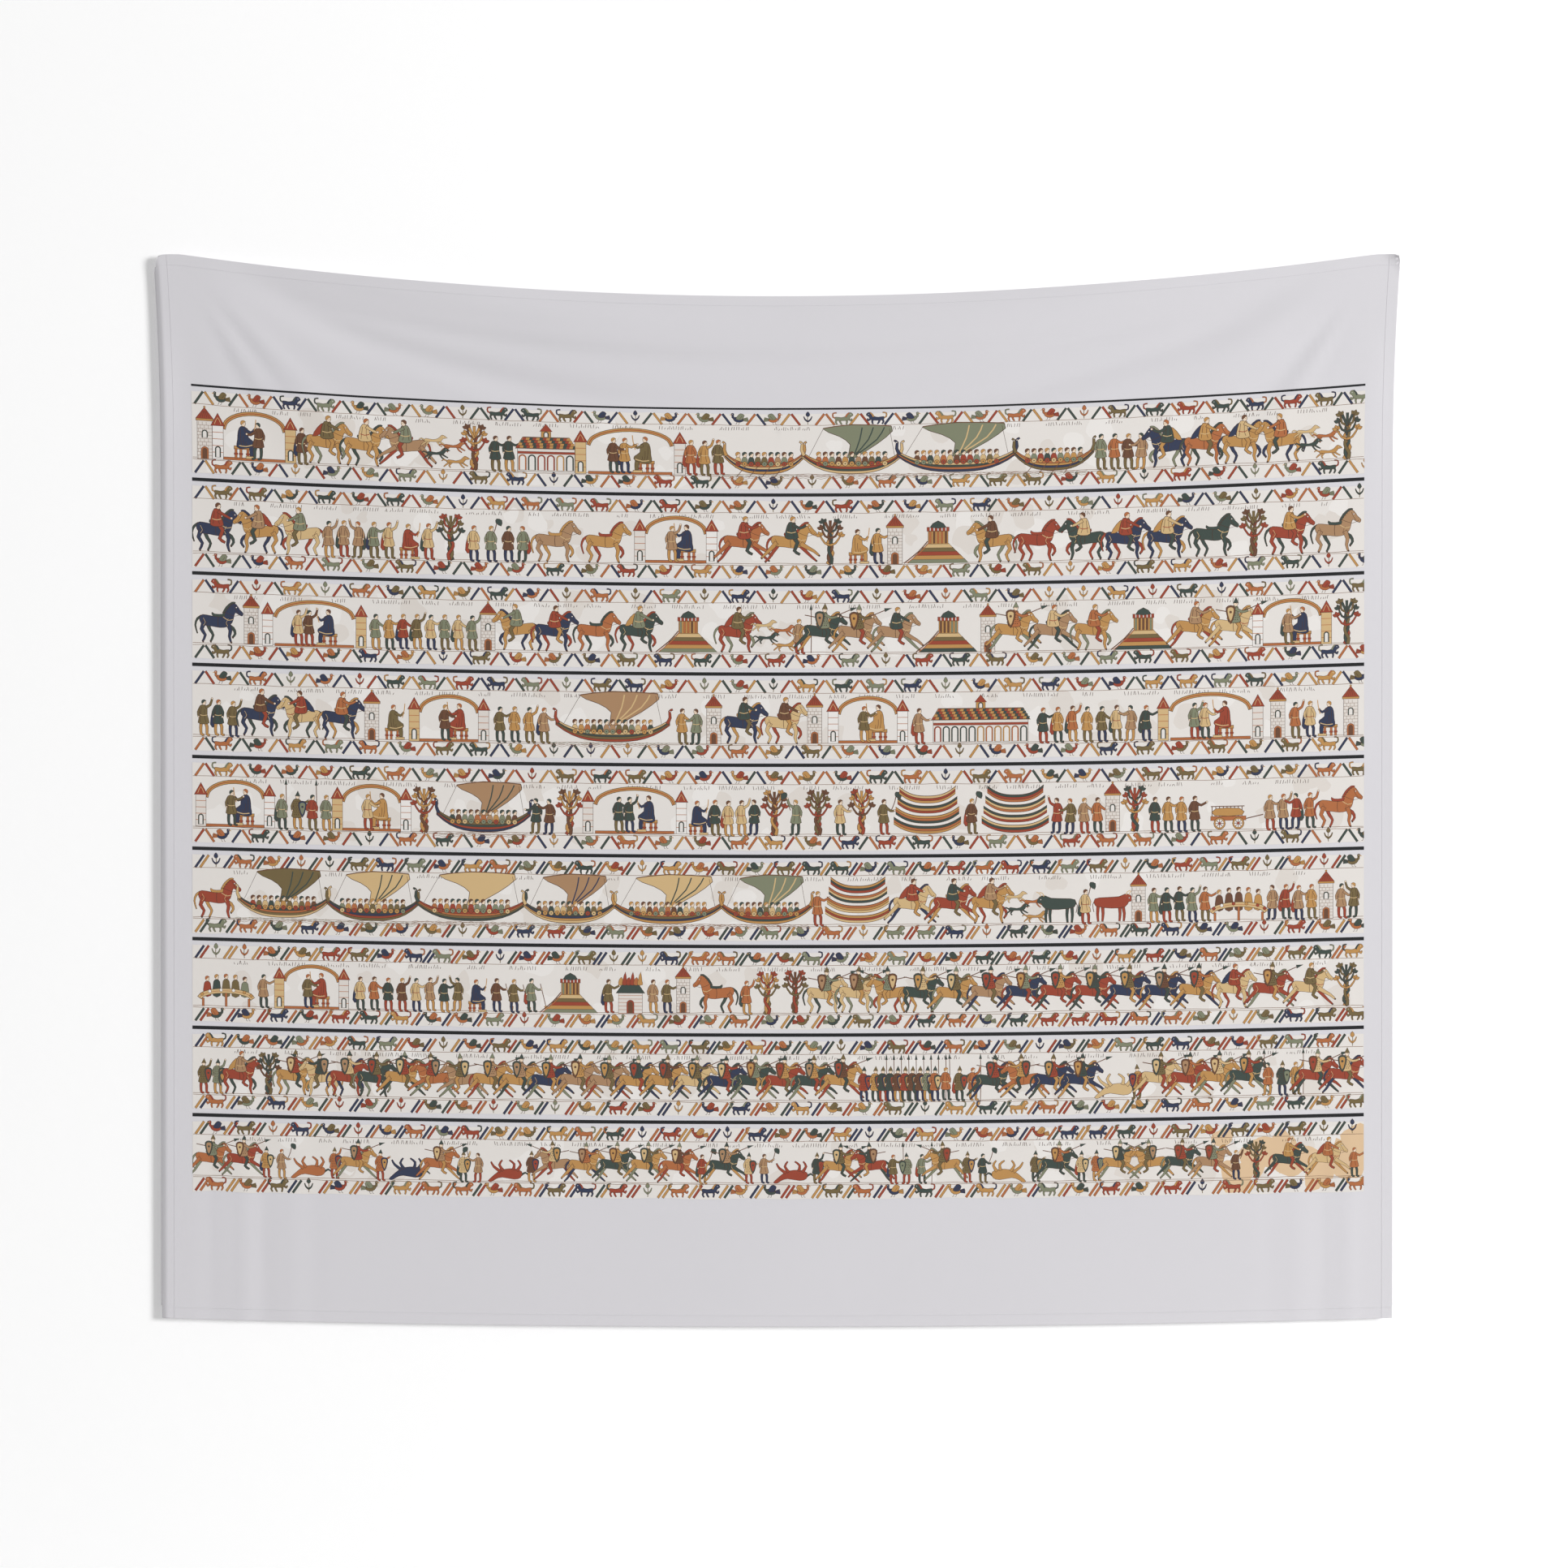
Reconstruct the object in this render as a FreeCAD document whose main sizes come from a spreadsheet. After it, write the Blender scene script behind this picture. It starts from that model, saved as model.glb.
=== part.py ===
"""Wall hanging: a printed cloth panel, hemmed on all sides, hung by two D-rings on two wall hooks.

Row frame: X to the viewer's right, Y into the wall, Z up, in millimetres. The wall is the plane
Y = 0, and the origin is midway between the two hook screws on that plane. The cloth is a flat
sheet in front of the wall. Its top edge sags in one long arc between two level shoulders.
"""
import FreeCAD, Part
import math
import os
import Sketcher

Vector = FreeCAD.Vector
doc = FreeCAD.newDocument("WallHanging")
sheet = doc.addObject("Spreadsheet::Sheet", "Dimensions")

DIMENSIONS = [
    # the cloth panel
    ("panel_half_width_top", 1013.0),
    ("panel_half_width_bottom", 999.5),
    ("side_bend_half_width", 1001.0),
    ("side_bend_drop", 340.0),
    ("panel_top", 10.0),
    ("side_height", 1731.0),
    ("shoulder_width", 39.0),
    ("top_sag", 68.0),
    ("bottom_bulge", 14.0),
    ("cloth_thickness", 1.0),
    ("cloth_standoff", 16.0),
    # hems and their seams
    ("hem_width", 20.0),
    ("hem_thickness", 1.0),
    ("seam_inset", 17.0),
    ("seam_width", 1.2),
    ("thread_thickness", 0.4),
    # fixings behind the top corners
    ("fixing_spacing", 1982.0),
    ("hook_width", 8.0),
    ("hook_sheet", 1.2),
    ("hook_gap_radius", 1.8),
    ("hook_top", 6.5),
    ("hook_throat_drop", 10.0),
    ("hook_lip_height", 6.0),
    ("hook_end_rounding", 2.5),
    ("screw_radius", 1.5),
    ("screw_head_radius", 2.95),
    ("screw_seat_play", 0.05),
    ("screw_length", 20.0),
    ("screw_tip_length", 3.0),
    ("screw_slot_width", 0.7),
    ("screw_slot_length", 3.2),
    ("screw_slot_depth", 0.8),
    # D-rings
    ("ring_wire_radius", 1.2),
    ("ring_half_width", 12.5),
    ("ring_corner_radius", 2.0),
    ("ring_leg_top", 4.5),
    # tape tabs
    ("tab_width", 20.0),
    ("tape_thickness", 1.0),
    ("ring_play", 0.08),
    ("tab_slope_drop", 22.0),
    ("tab_length", 42.0),
    ("tab_seam_inset", 2.0),
    ("tab_seam_height", 14.0),
    # care label
    ("label_width", 25.0),
    ("label_height", 48.0),
    ("label_thickness", 0.4),
    ("label_place", 900.0),
    ("label_lift", 6.0),
]
for row, (alias, number) in enumerate(DIMENSIONS, start=1):
    sheet.set(f"A{row}", alias.replace("_", " "))
    sheet.set(f"B{row}", str(number))
    sheet.setAlias(f"B{row}", alias)
doc.recompute()


class Size:
    """A length, with its number and the spreadsheet expression that gives it."""

    def __init__(self, number, text):
        self.number = number
        self.text = text

    def joined(self, sign, other, work):
        if not isinstance(other, Size):
            other = Size(other, str(other))
        return Size(work(self.number, other.number), f"({self.text} {sign} {other.text})")

    def __add__(self, other):
        return self.joined("+", other, lambda a, b: a + b)

    def __sub__(self, other):
        return self.joined("-", other, lambda a, b: a - b)

    def __mul__(self, other):
        return self.joined("*", other, lambda a, b: a * b)

    def __truediv__(self, other):
        return self.joined("/", other, lambda a, b: a / b)

    def __neg__(self):
        return Size(-self.number, f"(0 - {self.text})")

    def root(self):
        return Size(math.sqrt(self.number), f"sqrt({self.text})")


def dim(alias):
    return Size(float(getattr(sheet, alias)), f"Dimensions.{alias}")


def arc_radius(half_chord, rise):
    """Radius of the arc that rises so far over half its chord."""
    return (half_chord * half_chord + rise * rise) / (rise * 2)


# ---- sizes worked out from the driving ones ----

ZERO = Size(0.0, "0")
TOP_SEAM_CHORDS = 12
half_top = dim("panel_half_width_top")
half_bottom = dim("panel_half_width_bottom")
half_bend = dim("side_bend_half_width")
top = dim("panel_top")
bottom = top - dim("side_height")
bend_z = top - dim("side_bend_drop")
shoulder = half_top - dim("shoulder_width")
sag_radius = arc_radius(shoulder, dim("top_sag"))
bulge_radius = arc_radius(half_bottom, dim("bottom_bulge"))
side_radius = arc_radius(dim("side_bend_drop"), half_top - half_bend)

cloth_back = dim("cloth_standoff")
cloth_front = cloth_back + dim("cloth_thickness")
hem_back = cloth_back - dim("hem_thickness")

hook_sheet = dim("hook_sheet")
half_hook = dim("hook_width") / 2
throat_y = -(hook_sheet + dim("hook_gap_radius"))
throat_z = -dim("hook_throat_drop")
ring_arch = dim("ring_half_width")
# The ring's round top drops a little over the hook's width, so the ring sits that much higher.
ring_rise = ring_arch - (ring_arch * ring_arch - half_hook * half_hook).root()
bar_z = throat_z + ring_rise - dim("ring_leg_top") - ring_arch


def side_at(drop):
    """Half the panel's width at a small drop below its top edge, on the side's upper arc."""
    fall = dim("side_bend_drop") - drop
    return half_bend + side_radius - (side_radius * side_radius - fall * fall).root()


# ---- bodies, sketches and pads ----

def origin_plane(body, role):
    return next(item for item in body.Origin.OriginFeatures if item.Role == role)


def new_body(label, place_x=ZERO):
    """A body whose label names its file. place_x is where its own X = 0 lies."""
    body = doc.addObject("PartDesign::Body", f"{label}_body")
    body.Label = label
    body.setExpression("Placement.Base.x", place_x.text)
    return body


def new_sketch(body, name, role, offset=ZERO):
    """A sketch on one of the body's own origin planes, moved along that plane's normal."""
    sketch = body.newObject("Sketcher::SketchObject", name)
    sketch.AttachmentSupport = [(origin_plane(body, role), "")]
    sketch.MapMode = "FlatFace"
    sketch.setExpression("AttachmentOffset.Base.z", offset.text)
    return sketch


def bind(sketch, constraint, size):
    index = sketch.addConstraint(constraint)
    sketch.setExpression(f"Constraints[{index}]", size.text)


def arc_between(start, end, radius, bow):
    """The short arc between two points. bow is 1 where it bows to the left, seen from start to end."""
    chord = end - start
    left = Vector(-chord.y, chord.x, 0).normalize()
    reach = math.sqrt(max(radius ** 2 - (chord.Length / 2) ** 2, 0.0))
    peak = (start + end) * 0.5 + left * bow * (radius - reach)
    return Part.Arc(start, peak, end)


def draw_outline(sketch, corners, arcs):
    """A closed outline. arcs gives (radius, bow) for each round edge, by its first corner's number."""
    points = [Vector(x.number, y.number, 0) for x, y in corners]
    ends = []
    for index, start in enumerate(points):
        end = points[(index + 1) % len(points)]
        if index not in arcs:
            edge = sketch.addGeometry(Part.LineSegment(start, end), False)
            ends.append((edge, 1, 2))
            continue
        radius, bow = arcs[index]
        edge = sketch.addGeometry(arc_between(start, end, radius.number, bow), False)
        bind(sketch, Sketcher.Constraint("Radius", edge, radius.number), radius)
        # A sketched arc runs anticlockwise, so one that bows to the left has its ends the other way.
        ends.append((edge, 2, 1) if bow > 0 else (edge, 1, 2))
    for index, (x, y) in enumerate(corners):
        edge, first, _ = ends[index]
        before, _, last = ends[index - 1]
        sketch.addConstraint(Sketcher.Constraint("Coincident", before, last, edge, first))
        bind(sketch, Sketcher.Constraint("DistanceX", -1, 1, edge, first, x.number), x)
        bind(sketch, Sketcher.Constraint("DistanceY", -1, 1, edge, first, y.number), y)


def draw_circle(sketch, x, y, radius):
    circle = Part.Circle(Vector(x.number, y.number, 0), Vector(0, 0, 1), radius.number)
    edge = sketch.addGeometry(circle, False)
    bind(sketch, Sketcher.Constraint("Radius", edge, radius.number), radius)
    bind(sketch, Sketcher.Constraint("DistanceX", -1, 1, edge, 3, x.number), x)
    bind(sketch, Sketcher.Constraint("DistanceY", -1, 1, edge, 3, y.number), y)


def rectangle(low_x, high_x, low_y, high_y):
    return [(low_x, low_y), (high_x, low_y), (high_x, high_y), (low_x, high_y)]


def add_pad(body, sketch, length, midplane=False):
    pad = body.newObject("PartDesign::Pad", "Pad")
    pad.Profile = sketch
    pad.Midplane = midplane
    pad.setExpression("Length", length.text)
    return pad


def plate(label, outlines, back, thickness, place_x=ZERO):
    """A flat piece parallel to the wall. back is how far its back face stands off the wall."""
    body = new_body(label, place_x)
    sketch = new_sketch(body, f"{label}_outline", "XZ_Plane", back)
    for corners, arcs in outlines:
        draw_outline(sketch, corners, arcs)
    add_pad(body, sketch, thickness)
    return body


# ---- the cloth panel ----

def make_printed_cloth():
    corners = [
        (-half_top, top),
        (-half_bend, bend_z),
        (-half_bottom, bottom),
        (half_bottom, bottom),
        (half_bend, bend_z),
        (half_top, top),
        (shoulder, top),
        (-shoulder, top),
    ]
    arcs = {0: (side_radius, 1), 2: (bulge_radius, -1), 4: (side_radius, 1), 6: (sag_radius, 1)}
    return plate("printed_cloth", [(corners, arcs)], cloth_back, dim("cloth_thickness"))


# ---- hems and seams: strips along the four edges ----

def top_strip(inset, width):
    inner = inset + width
    outer_x = side_at(inset) - inset
    inner_x = side_at(inner) - inset
    corners = [
        (-outer_x, top - inset),
        (-inner_x, top - inner),
        (-shoulder, top - inner),
        (shoulder, top - inner),
        (inner_x, top - inner),
        (outer_x, top - inset),
        (shoulder, top - inset),
        (-shoulder, top - inset),
    ]
    return corners, {2: (sag_radius, -1), 6: (sag_radius, 1)}


def chorded(strip, pieces):
    """The top strip with each arc as a row of equal chords, for a seam too thin to be meshed round."""
    corners, arcs = strip
    outline = []
    for index, (x, z) in enumerate(corners):
        outline.append((x, z))
        if index not in arcs:
            continue
        for step in range(1, pieces):
            along = x * (1 - 2 * step / pieces)
            depth = (sag_radius * sag_radius - along * along).root()
            ends = (sag_radius * sag_radius - shoulder * shoulder).root()
            outline.append((along, z - (depth - ends)))
    return outline, {}


def bottom_strip(inset, width):
    end_x = half_bottom - inset
    corners = rectangle(-end_x, end_x, bottom + inset, bottom + inset + width)
    return corners, {0: (bulge_radius, -1), 2: (bulge_radius, 1)}


def side_strip(side, inset, width):
    """The strip down one side, between the top and bottom strips. side is -1 left and 1 right."""
    inner = inset + width
    corners = [
        ((side_at(inner) - inset) * side, top - inner),
        ((half_bend - inset) * side, bend_z),
        ((half_bottom - inset) * side, bottom + inner),
        ((half_bottom - inner) * side, bottom + inner),
        ((half_bend - inner) * side, bend_z),
        ((side_at(inner) - inner) * side, top - inner),
    ]
    return corners, {0: (side_radius, -side), 4: (side_radius, side)}


def edge_strips(inset, width):
    return {
        "top": top_strip(inset, width),
        "bottom": bottom_strip(inset, width),
        "left": side_strip(-1, inset, width),
        "right": side_strip(1, inset, width),
    }


def make_hems():
    strips = edge_strips(ZERO, dim("hem_width"))
    return [
        plate(f"{edge}_hem", [strip], hem_back, dim("hem_thickness"))
        for edge, strip in strips.items()
    ]


def make_hem_threads():
    seam_width = dim("seam_width")
    strips = edge_strips(dim("seam_inset") - seam_width / 2, seam_width)
    strips["top"] = chorded(strips["top"], TOP_SEAM_CHORDS)
    return [
        plate(f"{edge}_hem_thread", [strip], cloth_front, dim("thread_thickness"))
        for edge, strip in strips.items()
    ]


# ---- care label on the back, over the bottom hem ----

def make_care_label():
    low = bottom + dim("label_lift")
    half = dim("label_width") / 2
    centre = dim("label_place")
    back = hem_back - dim("label_thickness")
    corners = rectangle(-half, half, low, low + dim("label_height"))
    label = plate("care_label", [(corners, {})], back, dim("label_thickness"), centre)
    seam = bottom + dim("seam_inset")
    half_seam = dim("seam_width") / 2
    corners = rectangle(-half + 1, half - 1, seam - half_seam, seam + half_seam)
    thickness = dim("thread_thickness")
    thread = plate("care_label_thread", [(corners, {})], back - thickness, thickness, centre)
    return [label, thread]


# ---- fixings behind each top corner ----

def make_hook(side_name, place_x):
    """A bent steel strip: a plate on the wall, a round throat and a lip, with a countersunk hole."""
    body = new_body(f"{side_name}_hook", place_x)
    profile = new_sketch(body, f"{side_name}_hook_profile", "YZ_Plane")
    inner = dim("hook_gap_radius")
    outer = inner + hook_sheet
    lip_z = throat_z + dim("hook_lip_height")
    corners = [
        (ZERO, dim("hook_top")),
        (-hook_sheet, dim("hook_top")),
        (-hook_sheet, throat_z),
        (throat_y, throat_z - inner),
        (throat_y - inner, throat_z),
        (throat_y - inner, lip_z),
        (throat_y - outer, lip_z),
        (throat_y - outer, throat_z),
        (throat_y, throat_z - outer),
        (ZERO, throat_z),
    ]
    arcs = {2: (inner, 1), 3: (inner, 1), 7: (outer, -1), 8: (outer, -1)}
    draw_outline(profile, corners, arcs)
    pad = add_pad(body, profile, dim("hook_width"), midplane=True)
    doc.recompute()
    rounding = body.newObject("PartDesign::Fillet", "Fillet")
    rounding.Base = (pad, end_edges(pad, lip_z.number))
    rounding.setExpression("Radius", dim("hook_end_rounding").text)
    seat = new_sketch(body, f"{side_name}_hook_seat", "YZ_Plane")
    front_radius = dim("screw_head_radius") + dim("screw_seat_play")
    corners = [
        (-hook_sheet - 1, ZERO),
        (Size(1.0, "1"), ZERO),
        (Size(1.0, "1"), front_radius - hook_sheet - 1),
        (-hook_sheet - 1, front_radius + 1),
    ]
    draw_outline(seat, corners, {})
    groove = body.newObject("PartDesign::Groove", "Countersink")
    groove.Profile = seat
    groove.ReferenceAxis = (seat, ["H_Axis"])
    groove.Angle = 360.0
    return body


def end_edges(pad, lip_z):
    """The short edges through the sheet's thickness, at the plate's top end and the lip's end."""
    names = []
    for number, edge in enumerate(pad.Shape.Edges, start=1):
        box = edge.BoundBox
        along_y = box.YLength > 1e-3 and box.XLength < 1e-3 and box.ZLength < 1e-3
        at_end = box.ZMin > lip_z - 1e-3
        if along_y and at_end:
            names.append(f"Edge{number}")
    return names


def make_screw(side_name, place_x):
    """A countersunk screw, its head flush with the hook's plate, with a cross slot."""
    body = new_body(f"{side_name}_screw", place_x)
    profile = new_sketch(body, f"{side_name}_screw_profile", "YZ_Plane")
    head = dim("screw_head_radius")
    shank = dim("screw_radius")
    tip_y = dim("screw_length") - hook_sheet
    corners = [
        (-hook_sheet, ZERO),
        (tip_y, ZERO),
        (tip_y - dim("screw_tip_length"), shank),
        (head - shank - hook_sheet, shank),
        (-hook_sheet, head),
    ]
    draw_outline(profile, corners, {})
    turned = body.newObject("PartDesign::Revolution", "Turned")
    turned.Profile = profile
    turned.ReferenceAxis = (profile, ["H_Axis"])
    turned.Angle = 360.0
    slot = new_sketch(body, f"{side_name}_screw_slot", "XZ_Plane", hook_sheet)
    arm = dim("screw_slot_length") / 2
    half = dim("screw_slot_width") / 2
    corners = [
        (-arm, -half), (-half, -half), (-half, -arm), (half, -arm), (half, -half), (arm, -half),
        (arm, half), (half, half), (half, arm), (-half, arm), (-half, half), (-arm, half),
    ]
    draw_outline(slot, corners, {})
    pocket = body.newObject("PartDesign::Pocket", "CrossSlot")
    pocket.Profile = slot
    pocket.setExpression("Length", dim("screw_slot_depth").text)
    return body


def make_ring(side_name, place_x):
    """A D-ring of round wire: a straight bar below, short legs and a half-round top."""
    body = new_body(f"{side_name}_ring", place_x)
    path = new_sketch(body, f"{side_name}_ring_path", "XZ_Plane", -throat_y)
    corner = dim("ring_corner_radius")
    leg_top = bar_z + dim("ring_leg_top")
    corners = [
        (ZERO, bar_z),
        (ring_arch - corner, bar_z),
        (ring_arch, bar_z + corner),
        (ring_arch, leg_top),
        (ZERO, leg_top + ring_arch),
        (-ring_arch, leg_top),
        (-ring_arch, bar_z + corner),
        (corner - ring_arch, bar_z),
    ]
    arcs = {1: (corner, -1), 3: (ring_arch, -1), 4: (ring_arch, -1), 6: (corner, -1)}
    draw_outline(path, corners, arcs)
    wire = new_sketch(body, f"{side_name}_ring_wire", "YZ_Plane")
    draw_circle(wire, throat_y, bar_z, dim("ring_wire_radius"))
    pipe = body.newObject("PartDesign::AdditivePipe", "Wire")
    pipe.Profile = wire
    pipe.Spine = path
    return body


def make_tab(side_name, place_x):
    """A tape folded round the ring's bar, its two layers joined and sewn to the hem's back."""
    body = new_body(f"{side_name}_tab", place_x)
    profile = new_sketch(body, f"{side_name}_tab_profile", "YZ_Plane")
    tape = dim("tape_thickness")
    inside = dim("ring_wire_radius") + dim("ring_play")
    outside = inside + tape
    slope_z = bar_z - dim("tab_slope_drop")
    end_z = bar_z - dim("tab_length")
    front = -hem_back
    back = front + tape * 2
    corners = [
        (throat_y - outside, bar_z),
        (front, slope_z),
        (front, end_z),
        (back, end_z),
        (back, slope_z),
        (throat_y + outside, bar_z),
        (throat_y, bar_z + outside),
    ]
    draw_outline(profile, corners, {5: (outside, -1), 6: (outside, -1)})
    draw_circle(profile, throat_y, bar_z, inside)
    add_pad(body, profile, dim("tab_width"), midplane=True)
    return body


def make_tab_thread(side_name, place_x):
    """The square of stitches on the tape's back that holds it to the hem."""
    inset = dim("tab_seam_inset")
    wide = dim("seam_width") / 2
    half = dim("tab_width") / 2 - inset
    low = bar_z - dim("tab_length") + inset
    high = low + dim("tab_seam_height")
    outlines = [
        (rectangle(-half, half, low, high), {}),
        (rectangle(wide * 2 - half, half - wide * 2, low + wide * 2, high - wide * 2), {}),
    ]
    thickness = dim("thread_thickness")
    back = hem_back - dim("tape_thickness") * 2 - thickness
    return plate(f"{side_name}_tab_thread", outlines, back, thickness, place_x)


# ---- the whole hanging ----

sub_parts = [make_printed_cloth()]
sub_parts += make_hems()
sub_parts += make_hem_threads()
sub_parts += make_care_label()
for side_name, side in (("left", -1), ("right", 1)):
    fixing_x = dim("fixing_spacing") * side / 2
    for make in (make_hook, make_screw, make_ring, make_tab, make_tab_thread):
        sub_parts.append(make(side_name, fixing_x))
doc.recompute()

for item in doc.Objects:
    if "Invalid" in item.State or "Error" in item.State:
        raise RuntimeError(f"{item.Label} failed: {item.State}")

os.makedirs("parts", exist_ok=True)
for part in sub_parts:
    shape = part.Shape
    if shape.isNull() or not shape.isValid() or not shape.Solids:
        raise RuntimeError(f"{part.Label} has no valid solid")
    shape.exportStep(f"parts/{part.Label}.step")
    box = shape.BoundBox
    print(f"{part.Label:20s} {len(shape.Solids)} solid {shape.Volume:12.2f} mm3"
          f"  x {box.XMin:9.2f} {box.XMax:9.2f}  y {box.YMin:7.2f} {box.YMax:7.2f}"
          f"  z {box.ZMin:9.2f} {box.ZMax:8.2f}")
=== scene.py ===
"""The looks of a printed wall hanging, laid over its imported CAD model.

Row frame: X to the viewer's right, Y into the wall, Z up. Sizes below are in millimetres and turn
into metres in new_piece. The cloth is described flat first, as (across, up) from the middle of its
top edge, and hang() carries any flat point to its place on the hanging cloth.
"""
import math
import random
import bpy
import numpy as np
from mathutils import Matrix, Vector
from mathutils.geometry import delaunay_2d_cdt


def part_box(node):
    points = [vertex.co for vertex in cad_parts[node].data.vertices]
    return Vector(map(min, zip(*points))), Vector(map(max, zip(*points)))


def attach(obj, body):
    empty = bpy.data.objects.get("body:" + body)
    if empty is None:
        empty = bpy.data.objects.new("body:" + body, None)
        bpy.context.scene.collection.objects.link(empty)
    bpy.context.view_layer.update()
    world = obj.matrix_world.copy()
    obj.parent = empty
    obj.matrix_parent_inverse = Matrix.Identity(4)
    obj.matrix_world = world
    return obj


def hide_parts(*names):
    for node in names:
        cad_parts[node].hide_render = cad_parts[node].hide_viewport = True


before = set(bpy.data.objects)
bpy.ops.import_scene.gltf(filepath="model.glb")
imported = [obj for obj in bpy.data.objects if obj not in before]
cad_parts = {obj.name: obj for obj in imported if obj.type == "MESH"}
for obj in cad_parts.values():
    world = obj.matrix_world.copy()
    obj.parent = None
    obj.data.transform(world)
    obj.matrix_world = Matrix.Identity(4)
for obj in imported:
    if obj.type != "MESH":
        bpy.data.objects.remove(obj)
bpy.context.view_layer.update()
MM = 0.001

# ---------------------------------------------------------------- sizes, from the frame

FLAT_WIDTH = 2032.0
FLAT_HEIGHT = 1727.0
HEM = 20.0
SEAM_INSET = 17.0
CLOTH_THICKNESS = 0.4

cloth_low, cloth_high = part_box("printed_cloth")
TOP_HALF = cloth_high[0] / MM
TOP_Z = cloth_high[2] / MM
FRONT_Y = cloth_low[1] / MM
BOTTOM_BULGE = 14.0
SIDE_HEIGHT = TOP_Z - cloth_low[2] / MM - BOTTOM_BULGE
TOP_SAG = 68.0
BOTTOM_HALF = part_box("bottom_hem")[1][0] / MM
BEND_HALF = BOTTOM_HALF + 1.5
BEND_DROP = 340.0
SHOULDER = 1.0 - 39.0 / TOP_HALF
ring_low, ring_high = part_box("right_ring")
FIXING_X = (ring_low[0] + ring_high[0]) / 2 / MM
RING_Y = (ring_low[1] + ring_high[1]) / 2 / MM
tab_low, tab_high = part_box("right_tab")
TAB_WIDTH = (tab_high[0] - tab_low[0]) / MM
TAB_LOW_Z = tab_low[2] / MM
BAR_Z = tab_high[2] / MM - 2.28


# ---------------------------------------------------------------- cloth simulation

def grid_faces(across, down):
    faces = []
    for row in range(down - 1):
        for column in range(across - 1):
            a = row * across + column
            faces.append((a, a + across, a + across + 1, a + 1))
    return faces


CLOTH_SETTINGS = {
    "quality": 8, "mass": 0.1, "tension_stiffness": 60, "compression_stiffness": 40, "shear_stiffness": 15,
    "bending_stiffness": 0.3, "air_damping": 3,
}
FRAMES = 70


def simulated_folds():
    """Depth in mm of a sheet hung from its top corners, on a coarse grid, rows from the top down."""
    across, down = 65, 55
    u = np.linspace(-FLAT_WIDTH / 2, FLAT_WIDTH / 2, across) * MM
    w = np.linspace(0, -FLAT_HEIGHT, down) * MM
    grid_u, grid_w = np.meshgrid(u, w)
    ripple = 0.002 * np.sin(3.1 * math.pi * grid_u) * np.sin(2.3 * grid_w)
    hung = FIXING_X / (FIXING_X + 3.5)
    verts = np.stack([grid_u * hung, -0.012 - ripple, grid_w + 0.010], axis=-1).reshape(-1, 3)
    scene = bpy.context.scene
    mesh = bpy.data.meshes.new("hanging_trial")
    mesh.from_pydata(verts.tolist(), [], grid_faces(across, down))
    trial = bpy.data.objects.new("hanging_trial", mesh)
    scene.collection.objects.link(trial)
    pins = trial.vertex_groups.new(name="pins")
    pins.add([1, across - 2], 1.0, "ADD")
    trial.shape_key_add(name="Basis")
    uncut = trial.shape_key_add(name="flat")
    for index, vertex in enumerate(verts):
        uncut.data[index].co = (vertex[0] / hung, vertex[1], vertex[2])
    limits = []
    for name, depth, order in (("wall", 0.0, (0, 1, 2, 3)), ("front", -0.034, (3, 2, 1, 0))):
        plate = bpy.data.meshes.new(f"{name}_limit")
        corners = [(-2, depth, -3), (2, depth, -3), (2, depth, 1), (-2, depth, 1)]
        plate.from_pydata(corners, [], [order])
        limit = bpy.data.objects.new(f"{name}_limit", plate)
        scene.collection.objects.link(limit)
        limit.modifiers.new("Collision", "COLLISION")
        limit.collision.thickness_outer = 0.003
        limits.append(limit)
    cloth = trial.modifiers.new("Cloth", "CLOTH")
    settings = cloth.settings
    for name, value in CLOTH_SETTINGS.items():
        setattr(settings, name, value)
    settings.vertex_group_mass = "pins"
    settings.rest_shape_key = uncut
    cloth.collision_settings.distance_min = 0.003
    cloth.collision_settings.use_self_collision = False
    cloth.point_cache.frame_end = FRAMES
    for step in range(FRAMES):
        scene.frame_set(step + 1)
    shaped = trial.evaluated_get(bpy.context.evaluated_depsgraph_get())
    depth = np.array([vertex.co.y for vertex in shaped.data.vertices]) / MM
    scene.frame_set(1)
    for item in [trial] + limits:
        data = item.data
        bpy.data.objects.remove(item)
        bpy.data.meshes.remove(data)
    depth = depth.reshape(down, across)
    return depth - depth.mean()


FOLDS = simulated_folds()


def spline_weights(place):
    """The four cubic B-spline weights at a fractional place between grid lines."""
    return (
        (1 - place) ** 3 / 6,
        (3 * place ** 3 - 6 * place ** 2 + 4) / 6,
        (-3 * place ** 3 + 3 * place ** 2 + 3 * place + 1) / 6,
        place ** 3 / 6,
    )


def fold_depth(u, w):
    """The simulated folds at flat points, smoothed by a cubic B-spline."""
    rows, columns = FOLDS.shape
    column = np.clip((u / FLAT_WIDTH + 0.5) * (columns - 1), 0, columns - 1.001)
    row = np.clip(-w / FLAT_HEIGHT * (rows - 1), 0, rows - 1.001)
    i = column.astype(int)
    j = row.astype(int)
    across = spline_weights(column - i)
    down = spline_weights(row - j)
    depth = np.zeros_like(u)
    for b in range(4):
        for a in range(4):
            y = np.clip(j + b - 1, 0, rows - 1)
            x = np.clip(i + a - 1, 0, columns - 1)
            depth += FOLDS[y, x] * across[a] * down[b]
    return depth


# ---------------------------------------------------------------- the hang of the cloth

def ease(x):
    x = np.clip(x, 0, 1)
    return x * x * (3 - 2 * x)


def bump(x, centre, spread):
    return np.exp(-((x - centre) / spread) ** 2)


# Swags between the two top corners: depth in mm below the top edge at the middle, rise toward the corners,
# height of the fold, and its spread.
SWAG_HALF = 820.0
SWAGS = (
    (70, 42, 0.9, 15), (122, 76, 2.7, 17), (166, 112, -1.2, 20), (220, 162, 7.0, 27), (340, 285, 1.6, 32),
)
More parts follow.
